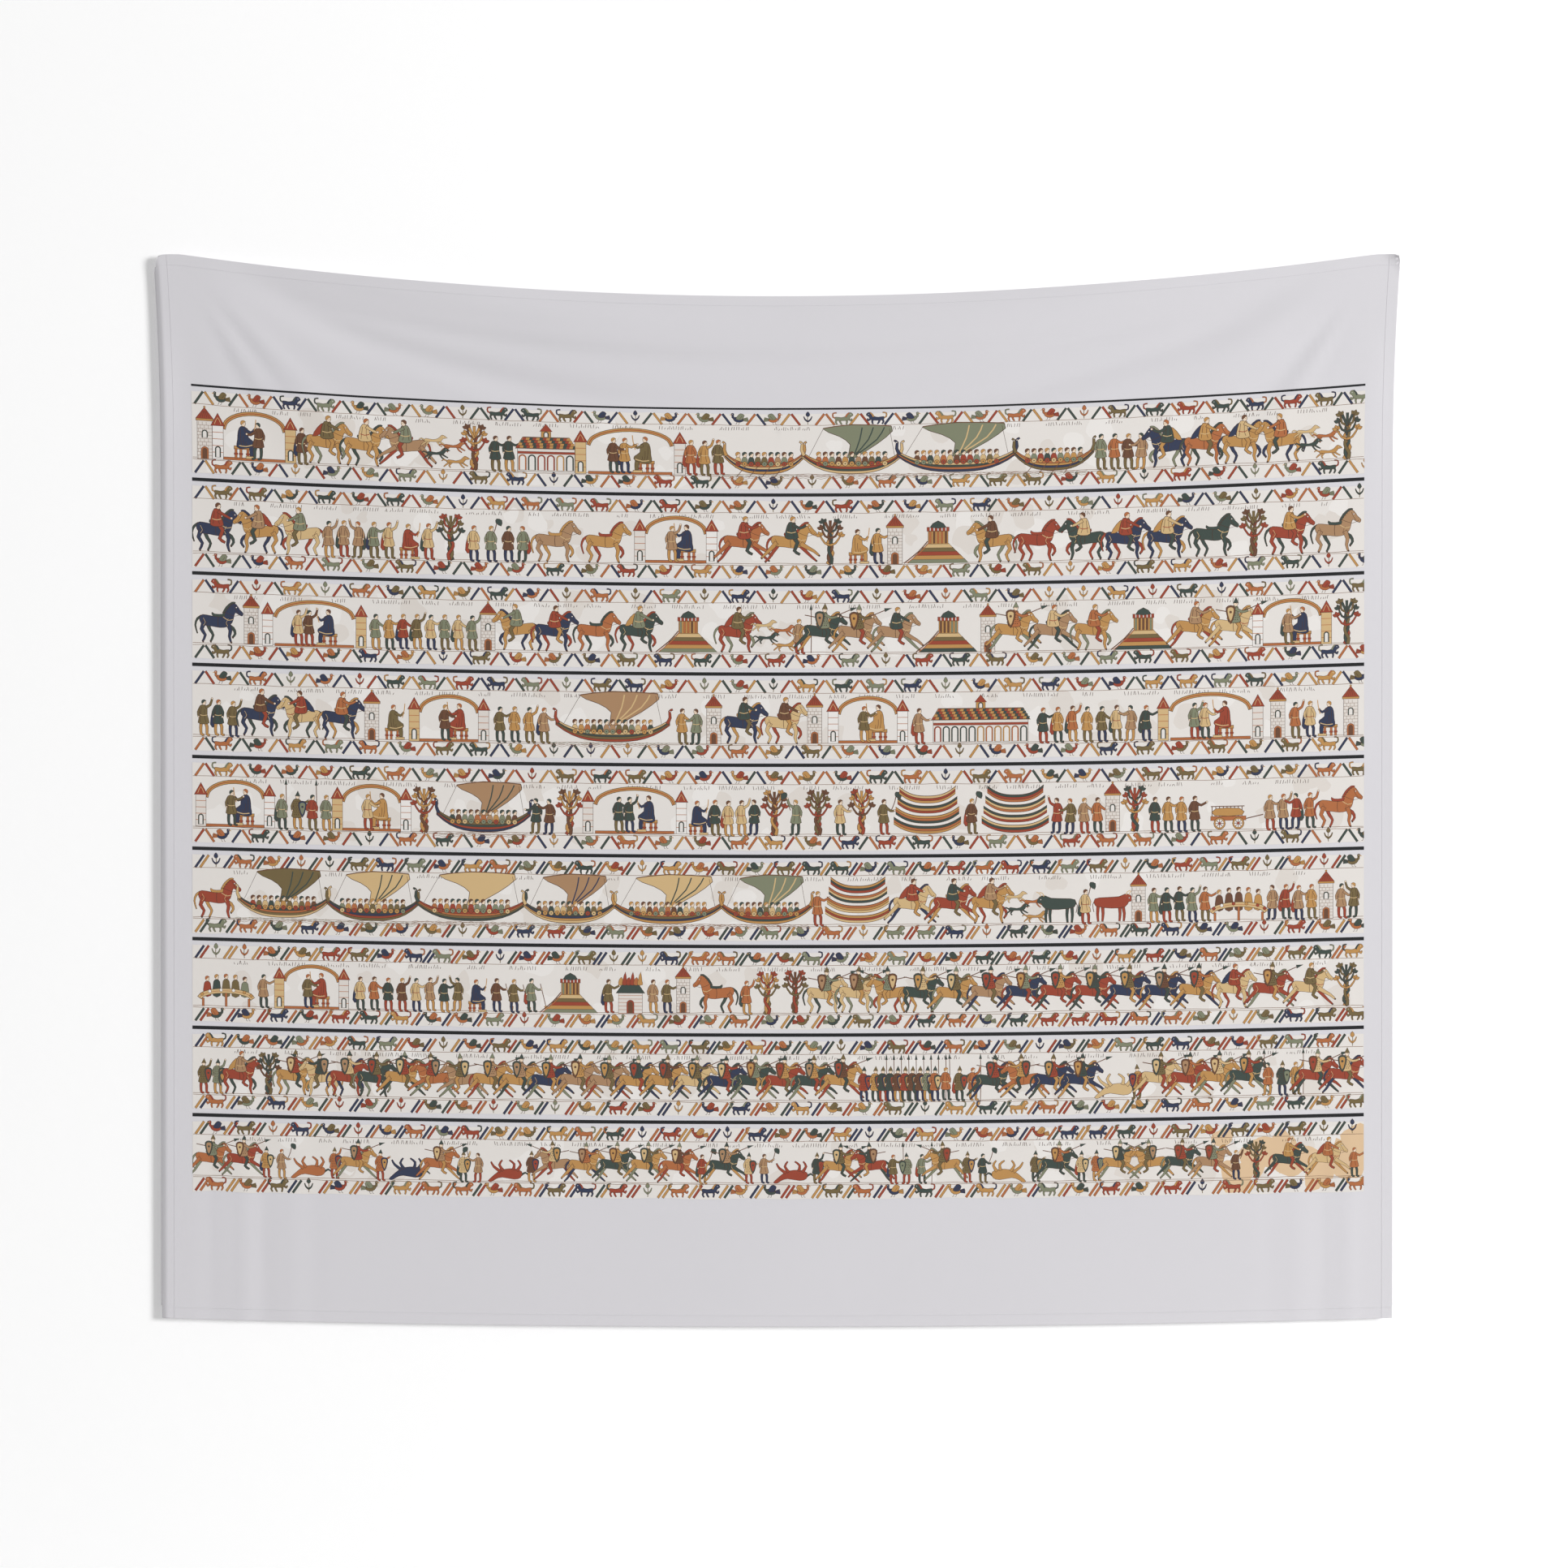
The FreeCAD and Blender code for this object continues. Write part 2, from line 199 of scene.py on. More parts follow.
# Short steep folds at each top corner: direction below the horizontal in radians, and height in mm.
CORNER_FOLDS = ((0.74, -0.9), (0.88, 1.5), (1.00, -1.3), (1.12, 0.8))
# Upright folds at the lower corners: place across, from -1 to 1, and height in mm.
FOOT_FOLDS = (
    (-0.925, 0.7), (-0.87, -0.9), (-0.838, 0.9), (-0.79, -0.5), (-0.755, 0.4),
    (0.80, 0.4), (0.845, -0.5), (0.885, 0.8), (0.93, -0.9),
)
# The left edge's last strip, the right corner's tip and the rounding of both top corners, in mm.
EDGE_TURN = 4.0
EDGE_DEPTH = 3.5
EDGE_WIDENING = 4.0
TIP_TURN = 34.0
TIP_DEPTH = 8.0
CORNER_ROUNDING = 3.0
ROUNDING_REACH = 7.0
# How the top edge's sag fades down the cloth: over what share of its height, and how steeply.
SAG_FADE, SAG_POWER = 0.17, 1.2
# How much of the simulated folds is kept everywhere and how much more under the top edge, and its fading.
FOLDS_LOW, FOLDS_TOP, FOLDS_FADE, FOLDS_POWER = 0.10, 0.28, 0.26, 1.6
# The right half's folds stand this much as high as the left half's.
RIGHT_SHARE = 0.75
# A swag keeps this share of its height in the middle, and gains the rest over a length across in mm.
SWAG_MIDDLE, SWAG_GAIN = 0.55, 500
# The corner folds fan out from a place this far in from the side edge, and end at a reach, in mm. Each
# spreads over an angle in radians, and over no less than a width in mm.
FAN_INSET, FAN_REACH, FAN_ANGLE, FAN_WIDTH = 30, 330, 0.055, 14
# The foot folds' start and growth in shares of the cloth's height, and their spread across.
FOOT_START, FOOT_GROWTH, FOOT_SPREAD = 0.64, 0.3, 0.015


def hang(u, w):
    """Places on the cloth's front face, in mm, of flat points u across and w up from the top edge."""
    t = -w / FLAT_HEIGHT
    s = u / (FLAT_WIDTH / 2)
    drop = np.clip(BEND_DROP - t * SIDE_HEIGHT, 0, BEND_DROP)
    radius = (BEND_DROP ** 2 + (TOP_HALF - BEND_HALF) ** 2) / (2 * (TOP_HALF - BEND_HALF))
    flare = radius - np.sqrt(radius ** 2 - drop ** 2)
    x = s * (BEND_HALF - (BEND_HALF - BOTTOM_HALF) * t + flare)
    sag = BOTTOM_BULGE + (TOP_SAG - BOTTOM_BULGE) * np.exp(-(np.clip(t, 0, 2) / SAG_FADE) ** SAG_POWER)
    edge = SHOULDER + (1 - SHOULDER) * np.clip(t / 0.2, 0, 1)
    z = TOP_Z - SIDE_HEIGHT * t - sag * np.clip(1 - (s / edge) ** 2, 0, 1)
    # The simulated folds are deeper under the top edge, and nearly gone over the lower half.
    strength = FOLDS_LOW + FOLDS_TOP * np.exp(-(np.clip(t, 0, 2) / FOLDS_FADE) ** FOLDS_POWER)
    corner = np.hypot(np.abs(u) - FIXING_X, w + 45)
    depth = fold_depth(u, w) * strength * ease((corner - 25) / 160)
    side_share = np.where(u < 0, 1.0, RIGHT_SHARE)
    for middle_depth, rise, height, spread in SWAGS:
        slope = 2 * rise * u / SWAG_HALF ** 2
        away = (w + middle_depth - rise * (u / SWAG_HALF) ** 2) / np.sqrt(1 + slope ** 2)
        gain = SWAG_MIDDLE + (1 - SWAG_MIDDLE) * ease(np.abs(u) / SWAG_GAIN)
        fade = ease((SWAG_HALF + 110 - np.abs(u)) / 260) * gain
        depth += height * side_share * fade * bump(away, 0, spread)
    across = FLAT_WIDTH / 2 - FAN_INSET - np.abs(u)
    reach = np.hypot(across, w)
    angle = np.arctan2(-w, across)
    fan = np.maximum(FAN_ANGLE, FAN_WIDTH / np.maximum(reach, 1))
    for direction, height in CORNER_FOLDS:
        fade = ease((reach - 40) / 160) * np.exp(-(reach / FAN_REACH) ** 4)
        depth += height * side_share * fade * bump(angle, direction, fan)
    foot = ease((t - FOOT_START) / FOOT_GROWTH)
    for centre, height in FOOT_FOLDS:
        depth += height * foot * bump(s, centre, FOOT_SPREAD)
    # The left edge turns back to the wall, and the right corner's tip comes forward.
    turned = np.clip(1 - (FLAT_WIDTH / 2 + u) / EDGE_TURN, 0, None) ** 2 * ease(t / 0.02)
    tip = np.clip(1 - (FLAT_WIDTH / 2 - u - w) / TIP_TURN, 0, None) ** 2
    near_corner = np.exp(-((FLAT_WIDTH / 2 - np.abs(u)) ** 2 + w ** 2) / ROUNDING_REACH ** 2)
    rounding = CORNER_ROUNDING * near_corner
    x -= EDGE_WIDENING * turned + np.sign(u) * rounding
    z -= rounding
    y = FRONT_Y + depth + EDGE_DEPTH * turned - TIP_DEPTH * tip
    return np.stack([x, y, z], axis=-1)


# Half the length in mm over which the cloth's slope is measured.
SLOPE_REACH = 1.5


def hang_with_normals(u, w):
    u = np.asarray(u, float)
    w = np.asarray(w, float)
    place = hang(u, w)
    along = hang(u + SLOPE_REACH, w) - hang(u - SLOPE_REACH, w)
    up = hang(u, w + SLOPE_REACH) - hang(u, w - SLOPE_REACH)
    normal = np.cross(along, up)
    normal /= np.linalg.norm(normal, axis=-1, keepdims=True)
    return place, normal


def on_cloth(u, w, lift):
    """Flat points carried to the cloth, lift mm in front of its front face."""
    place, normal = hang_with_normals(u, w)
    return place + normal * np.asarray(lift, float)[..., None]


# ---------------------------------------------------------------- materials

def fill(node, sockets):
    for name, value in sockets.items():
        node.inputs[name].default_value = value


def new_material(name, sockets):
    """A material, its node tree, and its shader with some of its own sockets set."""
    material = bpy.data.materials.new(name)
    material.use_nodes = True
    shader = material.node_tree.nodes["Principled BSDF"]
    fill(shader, sockets)
    return material, material.node_tree, shader


def add(tree, kind, sockets=None, **settings):
    node = tree.nodes.new(f"ShaderNode{kind}")
    for name, value in settings.items():
        setattr(node, name, value)
    fill(node, sockets or {})
    return node


def fabric(name, colour, roughness=0.85, sheen=0.15, pitch=0.9, relief=0.12, mottle=0.0, mottle_size=90):
    """A woven cloth. pitch is the weave's repeat in mm, and mottle a faint change of its colour."""
    material, tree, shader = new_material(name, {
        "Base Color": (*colour, 1), "Roughness": roughness, "Sheen Weight": sheen, "Sheen Roughness": 0.6,
        "Specular IOR Level": 0.25,
    })
    link = tree.links.new
    place = add(tree, "TexCoord").outputs["Object"]
    weave = add(tree, "Math", operation="MAXIMUM")
    for index, direction in enumerate(("X", "Z")):
        wave = add(tree, "TexWave", {"Scale": WAVE_SCALE / (pitch * MM), "Distortion": 0.6, "Detail": 1.0},
                   bands_direction=direction)
        link(place, wave.inputs["Vector"])
        link(wave.outputs["Fac"], weave.inputs[index])
    threads = add(tree, "Bump", {"Strength": relief, "Distance": 0.25 * MM})
    link(weave.outputs[0], threads.inputs["Height"])
    link(threads.outputs["Normal"], shader.inputs["Normal"])
    if mottle:
        cloud = add(tree, "TexNoise", {"Scale": 1000 / mottle_size, "Detail": 6})
        link(place, cloud.inputs["Vector"])
        # A colour mix's own sockets: 6 and 7 are its two colours, and output 2 is the result.
        mix = add(tree, "Mix", {
            6: (*[c * (1 - mottle) for c in colour], 1), 7: (*[min(c * (1 + mottle), 1) for c in colour], 1),
        }, data_type="RGBA")
        link(cloud.outputs["Fac"], mix.inputs["Factor"])
        link(mix.outputs[2], shader.inputs["Base Color"])
    return material


def metal(name, colour, roughness, scratches):
    material, tree, shader = new_material(name, {"Base Color": (*colour, 1), "Metallic": 1.0})
    link = tree.links.new
    grain = add(tree, "TexNoise", {"Scale": 900, "Detail": 8})
    link(add(tree, "TexCoord").outputs["Object"], grain.inputs["Vector"])
    level = add(tree, "MapRange", {"To Min": roughness - scratches, "To Max": roughness + scratches})
    link(grain.outputs["Fac"], level.inputs["Value"])
    link(level.outputs["Result"], shader.inputs["Roughness"])
    relief = add(tree, "Bump", {"Strength": 0.1, "Distance": 0.05 * MM})
    link(grain.outputs["Fac"], relief.inputs["Height"])
    link(relief.outputs["Normal"], shader.inputs["Normal"])
    return material


# A wave texture at this scale repeats once in a unit of length.
WAVE_SCALE = 0.314
# How much brighter than its own colour the stage's light shows a surface that faces it.
LIGHT_LEVEL = 1.06


def linear(red, green, blue):
    """A display colour, 0 to 255 a channel, as the linear values that a shader takes."""
    channels = []
    for value in (red, green, blue):
        value /= 255
        value = value / 12.92 if value < 0.04045 else ((value + 0.055) / 1.055) ** 2.4
        channels.append(value / LIGHT_LEVEL)
    return tuple(channels)


CLOTH_COLOUR = linear(213, 211, 215)
INKS = {
    "rule": linear(26, 27, 30),
    "linen": linear(224, 219, 214),
    "linen_light": linear(230, 226, 222),
    "linen_shade": linear(217, 210, 203),
    "stain": linear(216, 186, 150),
    "line": linear(72, 48, 36),
    "fine": linear(134, 106, 88),
    "brick": linear(150, 66, 46),
    "brick_dark": linear(112, 50, 38),
    "rust": linear(172, 104, 62),
    "ochre": linear(184, 138, 80),
    "straw": linear(204, 174, 126),
    "tan": linear(166, 130, 96),
    "olive": linear(112, 96, 62),
    "sage": linear(124, 128, 104),
    "teal": linear(60, 72, 66),
    "navy": linear(48, 56, 80),
    "brown": linear(104, 70, 50),
    "skin": linear(230, 208, 184),
}
INK_ORDER = list(INKS)


# ---------------------------------------------------------------- pieces

def new_piece(name, points, faces, materials, stands_for=None, face_materials=None, normals=None):
    """A smooth piece on the hanging cloth's body. Its points are in mm."""
    mesh = bpy.data.meshes.new(name)
    mesh.from_pydata((np.asarray(points) * MM).tolist(), [], [tuple(map(int, f)) for f in faces])
    for material in materials:
        mesh.materials.append(material)
    if face_materials is not None:
        mesh.polygons.foreach_set("material_index", np.asarray(face_materials, np.int32))
    mesh.polygons.foreach_set("use_smooth", [True] * len(mesh.polygons))
    if normals is not None:
        mesh.normals_split_custom_set_from_vertices(np.asarray(normals).tolist())
    mesh.update()
    piece = bpy.data.objects.new(name, mesh)
    bpy.context.scene.collection.objects.link(piece)
    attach(piece, "hanging_cloth")
    if stands_for:
        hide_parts(stands_for)
    return piece


def sheet_faces(across, down):
    """A thin sheet's faces: its front grid, the same grid behind it turned over, and the rim between."""
    count = across * down
    faces = []
    for quad in grid_faces(across, down):
        faces += [quad, tuple(count + corner for corner in reversed(quad))]
    rim = list(range(across)) + [row * across + across - 1 for row in range(1, down)]
    rim += [(down - 1) * across + column for column in range(across - 2, -1, -1)]
    rim += [row * across for row in range(down - 2, 0, -1)]
    for a, b in zip(rim, rim[1:] + rim[:1]):
        faces.append((a, b, b + count, a + count))
    return faces


def tube_faces(rings, around):
    """Quads over rings of points, each ring a closed loop, with flat ends."""
    faces = []
    for ring in range(rings - 1):
        for side in range(around):
            a = ring * around + side
            b = ring * around + (side + 1) % around
            faces.append((a, b, b + around, a + around))
    faces.append(tuple(range(around))[::-1])
    faces.append(tuple((rings - 1) * around + side for side in range(around)))
    return faces


# ---------------------------------------------------------------- the sheet and its hems

cloth_material = fabric("plain_cloth", CLOTH_COLOUR, mottle=0.012, mottle_size=240, relief=0.10)
hem_material = fabric("hem_cloth", CLOTH_COLOUR, relief=0.10)
# The thread is coloured lighter than the cloth: painted light, which offsets the shade that its stitches sit
# in on the cloth's front.
thread_material = fabric("sewing_thread", linear(224, 222, 226), roughness=0.6, pitch=0.3, relief=0.4)
tape_material = fabric("twill_tape", linear(224, 220, 210), pitch=1.4, relief=0.5, mottle=0.03,
                       mottle_size=6)
label_material = fabric("satin_label", linear(240, 240, 238), roughness=0.45, sheen=0.4, pitch=0.35)


def make_sheet():
    near_edge = np.array([2.0, 4.0, 7.0, 10.0, 18.0])
    u = np.linspace(-FLAT_WIDTH / 2, FLAT_WIDTH / 2, 170)
    u = np.sort(np.concatenate([u, near_edge - FLAT_WIDTH / 2, FLAT_WIDTH / 2 - near_edge]))
    w = np.linspace(0, -FLAT_HEIGHT, 146)
    w = np.sort(np.concatenate([w, -near_edge]))[::-1]
    grid_u, grid_w = np.meshgrid(u, w)
    front, normal = hang_with_normals(grid_u.ravel(), grid_w.ravel())
    points = np.concatenate([front, front - normal * CLOTH_THICKNESS])
    normals = np.concatenate([normal, -normal])
    faces = sheet_faces(len(u), len(w))
    return new_piece("hanging_sheet", points, faces, [cloth_material], normals=normals)


def edge_line(edge, inset, spacing, ends):
    """Flat points along one edge of the cloth, inset from it, and the flat way in from that edge."""
    half = FLAT_WIDTH / 2
    if edge in ("top", "bottom"):
        run = np.linspace(-half + ends, half - ends, int((FLAT_WIDTH - 2 * ends) / spacing) + 1)
        level = -inset if edge == "top" else inset - FLAT_HEIGHT
        inward = (0.0, -1.0) if edge == "top" else (0.0, 1.0)
        return run, np.full_like(run, level), inward
    run = np.linspace(-ends, ends - FLAT_HEIGHT, int((FLAT_HEIGHT - 2 * ends) / spacing) + 1)
    side = -1 if edge == "left" else 1
    return np.full_like(run, side * (half - inset)), run, (-side * 1.0, 0.0)


# Across a hem: distance in from the cloth's edge, and depth behind the cloth's front face.
HEM_SECTION = (
    (0.0, -0.05), (-0.55, -0.25), (-0.75, -0.75), (-0.5, -1.25), (0.4, -1.45), (2.0, -1.35),
    (10.0, -1.30), (18.6, -1.35), (19.7, -1.30), (20.0, -0.95), (19.7, -0.50), (10.0, -0.42),
    (1.0, -0.42),
)


def make_hem(edge):
    ends = 0.0 if edge in ("top", "bottom") else HEM
    u, w, inward = edge_line(edge, 0.0, 9.0, ends)
    rings = len(u)
    around = len(HEM_SECTION)
    rng = np.random.default_rng(len(edge))
    pucker = 0.12 * np.sin(np.cumsum(rng.normal(0.9, 0.3, rings)))
    flat_u = np.zeros((rings, around))
    flat_w = np.zeros((rings, around))
    lift = np.zeros((rings, around))
    for index, (distance, depth) in enumerate(HEM_SECTION):
        flat_u[:, index] = u + inward[0] * distance
        flat_w[:, index] = w + inward[1] * distance
        lift[:, index] = depth - (pucker * 0.5 + 0.06) * (2 < distance < 19)
    points = on_cloth(flat_u.ravel(), flat_w.ravel(), lift.ravel())
    faces = tube_faces(rings, around)
    return new_piece(f"{edge}_hem_fold", points, faces, [hem_material], f"{edge}_hem")


def stitches(places, directions, outward, length, width):
    """Short rounded threads, each lying along its direction and bedded at both ends."""
    profile = ((-0.5, 0.2, -0.25), (-0.3, 0.9, 0.35), (0.3, 0.9, 0.35), (0.5, 0.2, -0.25))
    around = 5
    points, faces = [], []
    for place, direction, out in zip(places, directions, outward):
        side = np.cross(direction, out)
        base = len(points)
        for along, thick, lift in profile:
            centre = place + direction * along * length + out * lift * width
            for k in range(around):
                angle = 2 * math.pi * k / around
                offset = side * math.cos(angle) + out * math.sin(angle)
                points.append(centre + offset * thick * width / 2)
        for face in tube_faces(len(profile), around):
            faces.append(tuple(base + corner for corner in face))
    return points, faces


# A hem's stitches: length and width, and how far the threads lie off the cloth's front face.
HEM_STITCH = (2.9, 0.55)
FRONT_THREAD_LIFT = 0.12
BACK_THREAD_DEPTH = 1.45


def make_hem_stitches(edge):
    u, w, _ = edge_line(edge, SEAM_INSET, 3.6, 2.0)
    place, normal = hang_with_normals(u, w)
    along = np.gradient(place, axis=0)
    along /= np.linalg.norm(along, axis=-1, keepdims=True)
    front = place + normal * FRONT_THREAD_LIFT
    back = place - normal * BACK_THREAD_DEPTH
    points, faces = stitches(front, along, normal, *HEM_STITCH)
    back_points, back_faces = stitches(back, along, -normal, *HEM_STITCH)
    faces += [tuple(len(points) + corner for corner in face) for face in back_faces]
    points += back_points
    return new_piece(f"{edge}_hem_stitches", points, faces, [thread_material],
                     f"{edge}_hem_thread")


# ---------------------------------------------------------------- flat drawing, for the printed frieze

def curve(points, closed=False, steps=2):
    """A smooth line through points, as complex numbers."""
    line = np.array([complex(*p) if isinstance(p, tuple) else p for p in points])
    if closed:
        before, after, last = np.roll(line, 1), np.roll(line, -1), np.roll(line, -2)
    else:
        before = np.concatenate([line[:1], line[:-2]])
        after = line[1:]
        last = np.concatenate([line[2:], line[-1:]])
        line = line[:-1]
    place = np.linspace(0, 1, steps, endpoint=False)[None, :]
    a, b, c, e = before[:, None], line[:, None], after[:, None], last[:, None]
    smooth = 0.5 * (
        2 * b + (c - a) * place + (2 * a - 5 * b + 4 * c - e) * place ** 2
        + (3 * b - a - 3 * c + e) * place ** 3
    )
    smooth = smooth.ravel()
    return smooth if closed else np.append(smooth, after[-1])


def grow(outline, margin):
    """A closed outline moved outward by a margin, with its corners kept short."""
    before = outline - np.roll(outline, 1)
    after = np.roll(outline, -1) - outline
    before = before / np.maximum(np.abs(before), 1e-6)
    after = after / np.maximum(np.abs(after), 1e-6)
    bisector = before + after
    turn = np.abs(bisector)
    bisector = np.where(turn > 0.3, bisector / np.maximum(turn, 1e-6), before)
    area = np.sum((np.conj(outline) * np.roll(outline, -1)).imag)
    outward = -1j * bisector * (1 if area > 0 else -1)
    reach = margin / np.clip(turn / 2, 0.6, 1)
    return outline + outward * reach


def thicken(line, first, last):
    """A closed ribbon along an open line, its width going from first to last."""
    tangent = np.gradient(line)
    tangent = tangent / np.maximum(np.abs(tangent), 1e-6)
    half = np.linspace(first, last, len(line)) / 2 * 1j * tangent
    return np.concatenate([line - half, (line + half)[::-1]])


class Drawing:
    """Flat shapes in painter's order, in mm. A later shape covers the ones before it."""

    def __init__(self, rng, shapes, origin=0j, size=1.0, flip=1):
        self.rng = rng
        self.shapes = shapes
        self.origin = origin
        self.size = size
        self.flip = flip

    def at(self, x, y, size=1.0, flip=1):
        """The same drawing, worked from another place, at another size and way round."""
        origin = self.origin + complex(x * self.flip, y) * self.size
        return Drawing(self.rng, self.shapes, origin, self.size * size, self.flip * flip)

    def pick(self, *inks):
        return self.rng.choice(inks)

    def put(self, outline, ink):
        placed = self.origin + (outline.real * self.flip + 1j * outline.imag) * self.size
        self.shapes.append((placed, ink))

    def edged(self, outline, ink, edge):
        if edge:
            self.put(grow(outline, edge), "line")
        self.put(outline, ink)

    def shape(self, points, ink, edge=0.75, sharp=False):
        outline = np.array([complex(*p) for p in points]) if sharp else curve(points, closed=True)
        self.edged(outline, ink, edge)

    def limb(self, points, ink, first, last, edge=0.7):
        self.edged(thicken(curve(points), first, last), ink, edge)

    def limbs(self, lines, ink, first, last, edge=0.7):
        for points in lines:
            self.limb(points, ink, first, last, edge)

    def mark(self, points, ink, width):
        self.put(thicken(curve(points), width, width), ink)

    def bar(self, start, end, ink, width):
        self.put(thicken(np.array([complex(*start), complex(*end)]), width, width), ink)

    def dot(self, x, y, radius, ink, edge=0.0, sides=8):
        self.edged(complex(x, y) + radius * np.exp(2j * math.pi * np.arange(sides) / sides), ink, edge)

    def box(self, x0, y0, x1, y1, ink, edge=0.6):
        self.shape([(x0, y0), (x1, y0), (x1, y1), (x0, y1)], ink, edge, sharp=True)

    def arch(self, x, y, width, height, ink, band, inside):
        """A round-headed opening, its surround in one ink and its inside in another."""
        half = width / 2
        turn = np.exp(1j * np.linspace(0, math.pi, 9))
        spring = complex(x, y + height - half)
        outer = np.concatenate([[complex(x + half, y)], spring + half * turn, [complex(x - half, y)]])
        inner = np.concatenate([
            [complex(x + half - band, y)], spring + (half - band) * turn, [complex(x - half + band, y)],
        ])
        self.edged(outer, ink, 0.5)
        self.put(inner, inside)


COATS = ("brick", "rust", "ochre", "tan", "ochre", "teal", "navy", "straw", "brick")
CLOTHS = ("brick", "ochre", "rust", "sage", "teal", "brown", "straw", "olive", "tan", "olive")
DARKS = ("teal", "navy", "brown", "brick_dark")

GAITS = {
    "walk": (
        ((17, 37), (22, 24), (20, 13), (23, 2)), ((13, 36), (27, 28), (31, 18), (26, 11)),
        ((-27, 39), (-33, 25), (-26, 14), (-31, 2)), ((-22, 36), (-17, 24), (-11, 14), (-16, 2)),
    ),
    "gallop": (
        ((17, 37), (30, 29), (41, 23), (50, 15)), ((13, 36), (25, 24), (36, 13), (45, 5)),
        ((-27, 39), (-38, 27), (-47, 18), (-55, 10)), ((-23, 36), (-33, 22), (-40, 11), (-48, 3)),
    ),
}


def draw_horse(d, coat, mane, gait="walk"):
    near_front, far_front, near_hind, far_hind = GAITS[gait]
    for leg in (far_front, far_hind):
        d.limb(leg, mane, 6.5, 2.4)
        d.dot(leg[-1][0] + 0.8, leg[-1][1] - 0.6, 1.8, "line", sides=6)
    d.limb([(-33, 49), (-41, 44), (-45, 32), (-41, 17)], mane, 4.6, 1.2)
    d.limb([(9, 56), (15, 67), (25, 76), (31, 76)], mane, 4.2, 2.0)
    body = [
        (-33, 35), (-37, 45), (-31, 52), (-14, 50), (2, 50), (10, 55), (17, 65), (26, 74), (33, 73),
        (40, 63), (46, 57), (44, 52), (37, 55), (31, 58), (28, 49), (25, 39), (16, 31), (2, 29),
        (-12, 31), (-24, 32),
    ]
    d.shape(body, coat)
    for leg in (near_hind, near_front):
        d.limb(leg, coat, 8.0, 2.6)
        d.dot(leg[-1][0] + 0.8, leg[-1][1] - 0.6, 1.9, "line", sides=6)
    for step in range(5):
        root = complex(12 + step * 3.6, 57 + step * 3.7)
        d.mark([root, root + complex(-1.6, 1.2), root + complex(-4.2, 1.6)], "line", 0.6)
    shade = "straw" if coat in DARKS + ("brick",) else "brown"
    d.mark([(-30, 46), (-26, 38), (-30, 32)], shade, 0.7)
    d.mark([(18, 46), (14, 38), (17, 32)], shade, 0.7)
    d.dot(33.5, 67.5, 1.1, "linen", 0.4, sides=6)
    d.mark([(29, 71), (33, 62), (38, 56)], "line", 0.7)
    d.mark([(43, 56), (30, 51), (12, 58)], "line", 0.7)
    d.mark([(8, 49), (18, 43), (27, 45)], "straw" if coat != "straw" else "brick", 1.2)
    d.shape([(-11, 50), (-13, 57), (-8, 54), (6, 54), (10, 58), (10, 50)], mane, 0.6)
    d.mark([(-1, 50), (-2, 40), (-1, 30)], "line", 0.9)


def draw_head(d, x, y, hair, helmet=False):
    """A small plain head that looks along +X: an oval, a cap of hair or a pointed helmet, and an eye."""
    d.shape([(x - 2.8, y), (x - 1.5, y - 3.4), (x + 1.8, y - 3.6), (x + 3.2, y), (x + 1.5, y + 3.3),
             (x - 1.8, y + 3.2)], "skin", 0.55)
    if helmet:
        d.shape([(x - 3.4, y + 0.6), (x + 3.8, y + 0.9), (x + 0.6, y + 8.2)], hair, 0.5, sharp=True)
        d.bar((x + 3.0, y + 0.8), (x + 3.4, y - 1.4), "line", 0.8)
    else:
        d.shape([(x - 3.2, y - 1.6), (x - 3.4, y + 2.4), (x, y + 4.4), (x + 3.2, y + 2.6),
                 (x + 0.6, y + 1.6), (x - 1.2, y - 0.6)], hair, 0.4)
    d.dot(x + 1.3, y - 0.2, 0.5, "line", sides=5)


RING_PITCH = 3.0


def draw_rings(d, x0, y0, x1, y1):
    """Rows of small rings, for mail."""
    for row in range(int((y1 - y0) / RING_PITCH)):
        for column in range(int((x1 - x0) / RING_PITCH)):
            x = x0 + RING_PITCH * (column + 0.5 + 0.3 * (row % 2))
            d.dot(x, y0 + RING_PITCH * (row + 0.5), 0.8, "line", sides=5)


def draw_kite_shield(d, x, y, ink, trim):
    d.shape([(x - 6, y + 8), (x, y + 11), (x + 6, y + 8), (x + 5, y - 2), (x, y - 14), (x - 5, y - 2)],
            trim, 0.7)
    d.shape([(x - 4.2, y + 6.5), (x, y + 8.6), (x + 4.2, y + 6.5), (x + 3.4, y - 2), (x, y - 10.5),
             (x - 3.4, y - 2)], ink, 0.0)
    d.dot(x, y + 2, 1.5, trim, 0.4, sides=6)


HORSE_SIZE, RIDER_SIZE, SEAT_HEIGHT = 0.84, 1.14, 51


